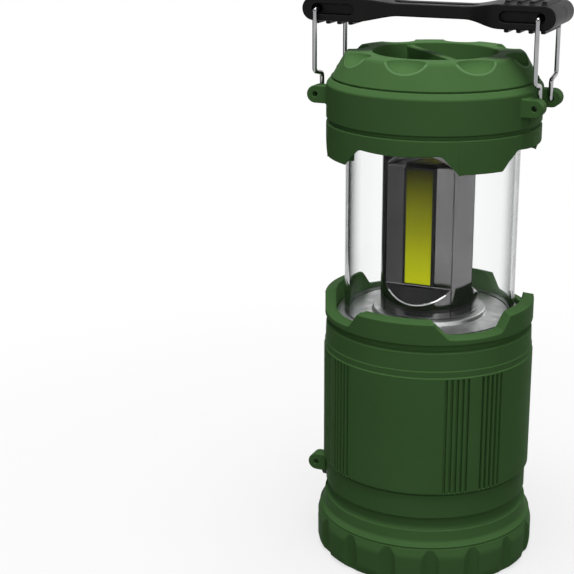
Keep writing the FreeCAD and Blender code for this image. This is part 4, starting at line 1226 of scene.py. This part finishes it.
def recess_cutter(radius, floor, top):
    """Tapered hollow in the cover's top, without the room of the slanting finger rib."""
    overrun = 1
    rib_half = 1.6
    rib_reach = 30
    rib_top = top - 1.0
    rib_angle = math.radians(42.5)
    along = Vector((math.sin(rib_angle), -math.cos(rib_angle), 0)) * rib_reach
    across = Vector((math.cos(rib_angle), math.sin(rib_angle), 0)) * rib_half
    foot = Vector((0, 0, floor - overrun))
    hollow = rod("recess", (0, 0, floor), (0, 0, top + overrun), radius - 1.0, radius + 0.1, sides=180)
    corners = [tuple(along * u + across * v + foot) for u, v in rectangle(-1, 1, -1, 1)]
    cut(hollow, extrude_outline("rib_space", corners, (0, 0, rib_top - foot.z)))
    return hollow


def scoop_ball():
    """Ball that hollows the cover's edge, a little wider than deep."""
    select_only()
    bpy.ops.mesh.primitive_uv_sphere_add(
        segments=160,
        ring_count=120,
        radius=SCOOP_RADIUS * MM,
        location=Vector((SCOOP_PLACE, 0, cover_high.z + SCOOP_RISE)) * MM,
    )
    ball = bpy.context.object
    ball.scale.y = SCOOP_WIDTH
    bpy.ops.object.transform_apply(location=True, rotation=True, scale=True)
    return ball


def make_wires():
    """Bent wires: pins in the ears, legs that jog outwards and a crossbar in the grip."""
    bend = 1.4
    tip = 11.6
    inner, outer = 8.2, 15.6
    jog_low, jog_high = hinge_z + 7.4, hinge_z + 8.9
    leg = [(inner, hinge_z), (inner, jog_low), (outer, jog_high), (outer, bar_z)]
    for side, node in ((-1, "left_bail"), (1, "right_bail")):
        x = side * hinge_x
        rising = [(x, y, z, bend) for y, z in leg]
        falling = [(x, -y, z, bend) for y, z in reversed(leg)]
        route = [(x, tip, hinge_z), *rising, *falling, (x, -tip, hinge_z)]
        wire = bend_wire(f"{node}_wire", route, WIRE_RADIUS)
        stand_for(wire, node, STEEL)


def flare(start, end, steps=16):
    """Corner pairs of an S-shaped line that leaves its start level and reaches its end level."""
    corners = []
    for i in range(steps + 1):
        share = i / steps
        ease = share * share * (3 - 2 * share)
        corners.append((start[0] + (end[0] - start[0]) * share, start[1] + (end[1] - start[1]) * ease))
    return corners


def make_grip():
    """Moulded grip: thick ribbed blocks with round ends, a slim waist, side slots and an oval on top."""
    end = size_of("grip")[1].x
    thick, wide = 4.5, 14.0
    waist_thick, waist_wide = 2.4, 7.0
    block = end - 20.7
    waist = block - 16.0
    overrun = 3
    upper = flare((waist, waist_thick), (block, thick))
    for degrees in range(90, 0, -10):
        angle = math.radians(degrees)
        upper.append((end - thick + thick * math.cos(angle), thick * math.sin(angle)))
    outline = upper + [(end, 0)] + [(x, -z) for x, z in reversed(upper)]
    outline += [(-x, -z) for x, z in upper] + [(-end, 0)] + [(-x, z) for x, z in reversed(upper)]
    grip = extrude_outline("hand_grip", [(x, -wide, bar_z + z) for x, z in outline], (0, 2 * wide, 0))
    run = flare((waist, waist_wide), (block, wide)) + [(block, wide + overrun)]
    run += [(-x, y) for x, y in reversed(run)]
    cutter_half = 8
    for way in (-1, 1):
        side_outline = [(x, way * y, bar_z - cutter_half) for x, y in run]
        cut(grip, extrude_outline("waist_cutter", side_outline, (0, 0, 2 * cutter_half)))
    first_rib, rib_pitch = block + 1.8, 4.6
    for side in (-1, 1):
        for i in range(4):
            add(grip, grip_rib(side * (first_rib + rib_pitch * i)))
    for side in (-1, 1):
        cut_wire_holes(grip, side, wide)
    oval_radius = 2.5
    oval_floor = bar_z + waist_thick - 0.8
    oval_half = waist + 4.0 - oval_radius
    oval = [(x, y, oval_floor) for x, y in slot_outline(oval_half, oval_radius)]
    cut(grip, extrude_outline("oval", oval, (0, 0, 6.0)))
    soften(grip, 0.5, angle=34)
    stand_for(grip, "grip", BLACK)


def grip_rib(centre):
    """Bar across the block that stands out above and below it."""
    half_width = 0.9
    half_length = 11.5
    height = 5.9
    outline = rectangle(centre - half_width, centre + half_width, -half_length, half_length)
    return extrude_outline("grip_rib", [(x, y, bar_z - height) for x, y in outline], (0, 0, 2 * height))


def cut_wire_holes(grip, side, wide):
    """Hole for a wire's crossbar through one block, and the slots in both its side faces."""
    play = 0.15
    overrun = 2
    slot_half = 6.5
    slot_radius = 2.0
    slot_floor = wide - 2.5
    slot_depth = 4
    x = side * hinge_x
    start, end = (x, -wide - overrun, bar_z), (x, wide + overrun, bar_z)
    cut(grip, rod("bar_hole", start, end, WIRE_RADIUS + play))
    middle = x - side * slot_half
    for way in (-1, 1):
        outline = slot_outline(slot_half, slot_radius)
        corners = [(middle + along, way * slot_floor, bar_z + up) for along, up in outline]
        cut(grip, extrude_outline("slot", corners, (0, way * slot_depth, 0)))


make_bezel()
make_lens()
make_reflector()
make_emitter()
make_barrel()
make_switch_plate()
make_button_ring()
make_button()
make_tube()
make_floor()
make_column()
make_strips()
make_cap()
make_cover()
make_wires()
make_grip()


# Stage, light and camera

def seen_rays(nodes, links):
    """The ray's path, and one for rays that show the background and zero for rays that light."""
    path = nodes.new("ShaderNodeLightPath")
    seen = path.outputs["Is Camera Ray"]
    for name in ("Is Glossy Ray", "Is Transmission Ray"):
        either = nodes.new("ShaderNodeMath")
        either.operation = "MAXIMUM"
        links.new(seen, either.inputs[0])
        links.new(path.outputs[name], either.inputs[1])
        seen = either.outputs[0]
    return path, seen


def make_stage():
    """Pale floor that keeps the lantern's shadow, fades to white around it and throws little light back."""
    shadow_radius, white_radius = 0.08, 0.34
    select_only()
    bpy.ops.mesh.primitive_plane_add(size=12.0, location=(0, 0, -0.0002))
    floor = bpy.context.object
    floor.name = "studio_floor"
    finish = Finish("studio_floor")
    finish.cloud(finish.noise(3.0), grey(0.86), grey(0.88))
    finish.set(Roughness=0.9, Specular_IOR_Level=0.1)
    path, seen = seen_rays(finish.nodes, finish.links)
    fade = finish.spread(finish.length(finish.place), 0.7, 1.0, shadow_radius, white_radius)
    white = finish.nodes.new("ShaderNodeEmission")
    dull = finish.nodes.new("ShaderNodeBsdfDiffuse")
    dull.inputs["Color"].default_value = (*grey(0.08), 1.0)
    plain = finish.shader.outputs["BSDF"]
    pale = finish.mix_shaders(finish.math("MULTIPLY", fade, seen), plain, white.outputs["Emission"])
    finish.show(finish.mix_shaders(path.outputs["Is Diffuse Ray"], pale, dull.outputs["BSDF"]))
    floor.data.materials.append(finish.material)


def make_card(name, place, turned, width, height, tone):
    """Card that only reflections and clear pieces show; it gives the bright pieces something to mirror."""
    select_only()
    bpy.ops.mesh.primitive_plane_add(size=1.0, location=place, rotation=turned)
    card = bpy.context.object
    card.name = name
    card.scale = (width, height, 1.0)
    bpy.ops.object.transform_apply(location=True, rotation=True, scale=True)
    finish = Finish(name)
    finish.cloud(finish.noise(6.0), grey(tone), grey(tone * 1.2))
    finish.set(Roughness=0.9)
    card.data.materials.append(finish.material)
    card.visible_camera = False
    card.visible_diffuse = False
    card.visible_shadow = False


def mix_numbers(nodes, links, share, number, source):
    """The number where the share is zero, and the source where it is one."""
    mix = nodes.new("ShaderNodeMix")
    links.new(share, mix.inputs["Factor"])
    mix.inputs["A"].default_value = number
    links.new(source, mix.inputs["B"])
    return mix.outputs["Result"]


def make_world():
    """White to the camera and through clear pieces, white low down to mirrors, and else soft light."""
    soft_light = 0.14
    world = bpy.data.worlds.new("studio")
    bpy.context.scene.world = world
    world.use_nodes = True
    nodes = world.node_tree.nodes
    links = world.node_tree.links
    nodes.clear()
    path, seen = seen_rays(nodes, links)
    way = nodes.new("ShaderNodeTexCoord")
    split = nodes.new("ShaderNodeSeparateXYZ")
    links.new(way.outputs["Generated"], split.inputs["Vector"])
    ceiling = nodes.new("ShaderNodeMapRange")
    for name, value in (("From Min", 0.35), ("From Max", 0.7), ("To Min", 1.0), ("To Max", 0.12)):
        ceiling.inputs[name].default_value = value
    links.new(split.outputs["Z"], ceiling.inputs["Value"])
    mirrored = mix_numbers(nodes, links, path.outputs["Is Glossy Ray"], 1.0, ceiling.outputs["Result"])
    background = nodes.new("ShaderNodeBackground")
    background.inputs["Color"].default_value = (1, 1, 1, 1)
    links.new(mix_numbers(nodes, links, seen, soft_light, mirrored), background.inputs["Strength"])
    output = nodes.new("ShaderNodeOutputWorld")
    links.new(background.outputs["Background"], output.inputs["Surface"])


def make_lamp(name, place, target, size, watts, mirrored=True):
    """Square lamp turned to a target; the fills are left out of mirrors."""
    place, target = Vector(place), Vector(target)
    bpy.ops.object.light_add(type="AREA", location=place)
    lamp = bpy.context.object
    lamp.name = name
    lamp.rotation_euler = (target - place).to_track_quat("-Z", "Y").to_euler()
    lamp.data.shape = "SQUARE"
    lamp.data.size = size
    lamp.data.energy = watts
    lamp.visible_glossy = mirrored


def make_camera():
    """Camera at the photograph's place, with its height, heading, pitch and roll."""
    place = Vector((0.17699, -0.53063, 0.28168))
    heading = math.radians(24.296)
    pitch = math.radians(17.113)
    roll = math.radians(-0.246)
    ahead = Vector((-math.sin(heading), math.cos(heading), 0))
    forward = ahead * math.cos(pitch) - Vector((0, 0, math.sin(pitch)))
    level = Vector((math.cos(heading), math.sin(heading), 0))
    rise = level.cross(forward)
    right = level * math.cos(roll) + rise * math.sin(roll)
    up = rise * math.cos(roll) - level * math.sin(roll)
    bpy.ops.object.camera_add(location=place)
    camera = bpy.context.object
    camera.name = "photo_camera"
    turn_matrix = Matrix((right, up, -forward)).transposed()
    camera.matrix_world = Matrix.Translation(place) @ turn_matrix.to_4x4()
    camera.data.lens = 91.09
    camera.data.sensor_width = 36.0
    bpy.context.scene.camera = camera


select_only()
make_stage()
make_card("left_card", (-0.32, 0.08, 0.13), (0, math.pi / 2, 0), 0.26, 0.5, 0.025)
make_card("front_card", (-0.279, -0.497, 0.001), (0, 0, math.radians(70.7)), 0.5, 0.2, 0.3)
make_world()
make_lamp("softbox", (0.03, -0.15, 1.35), (0, 0, 0.12), 0.7, 14.3)
make_lamp("front_fill", (0.40, -0.95, 0.50), (0, 0, 0.12), 0.6, 2.5, mirrored=False)
make_lamp("back_fill", (0.36, 0.98, 0.72), (0, 0, 0.11), 0.6, 1.6, mirrored=False)
make_camera()
bpy.context.scene.view_settings.view_transform = "Standard"
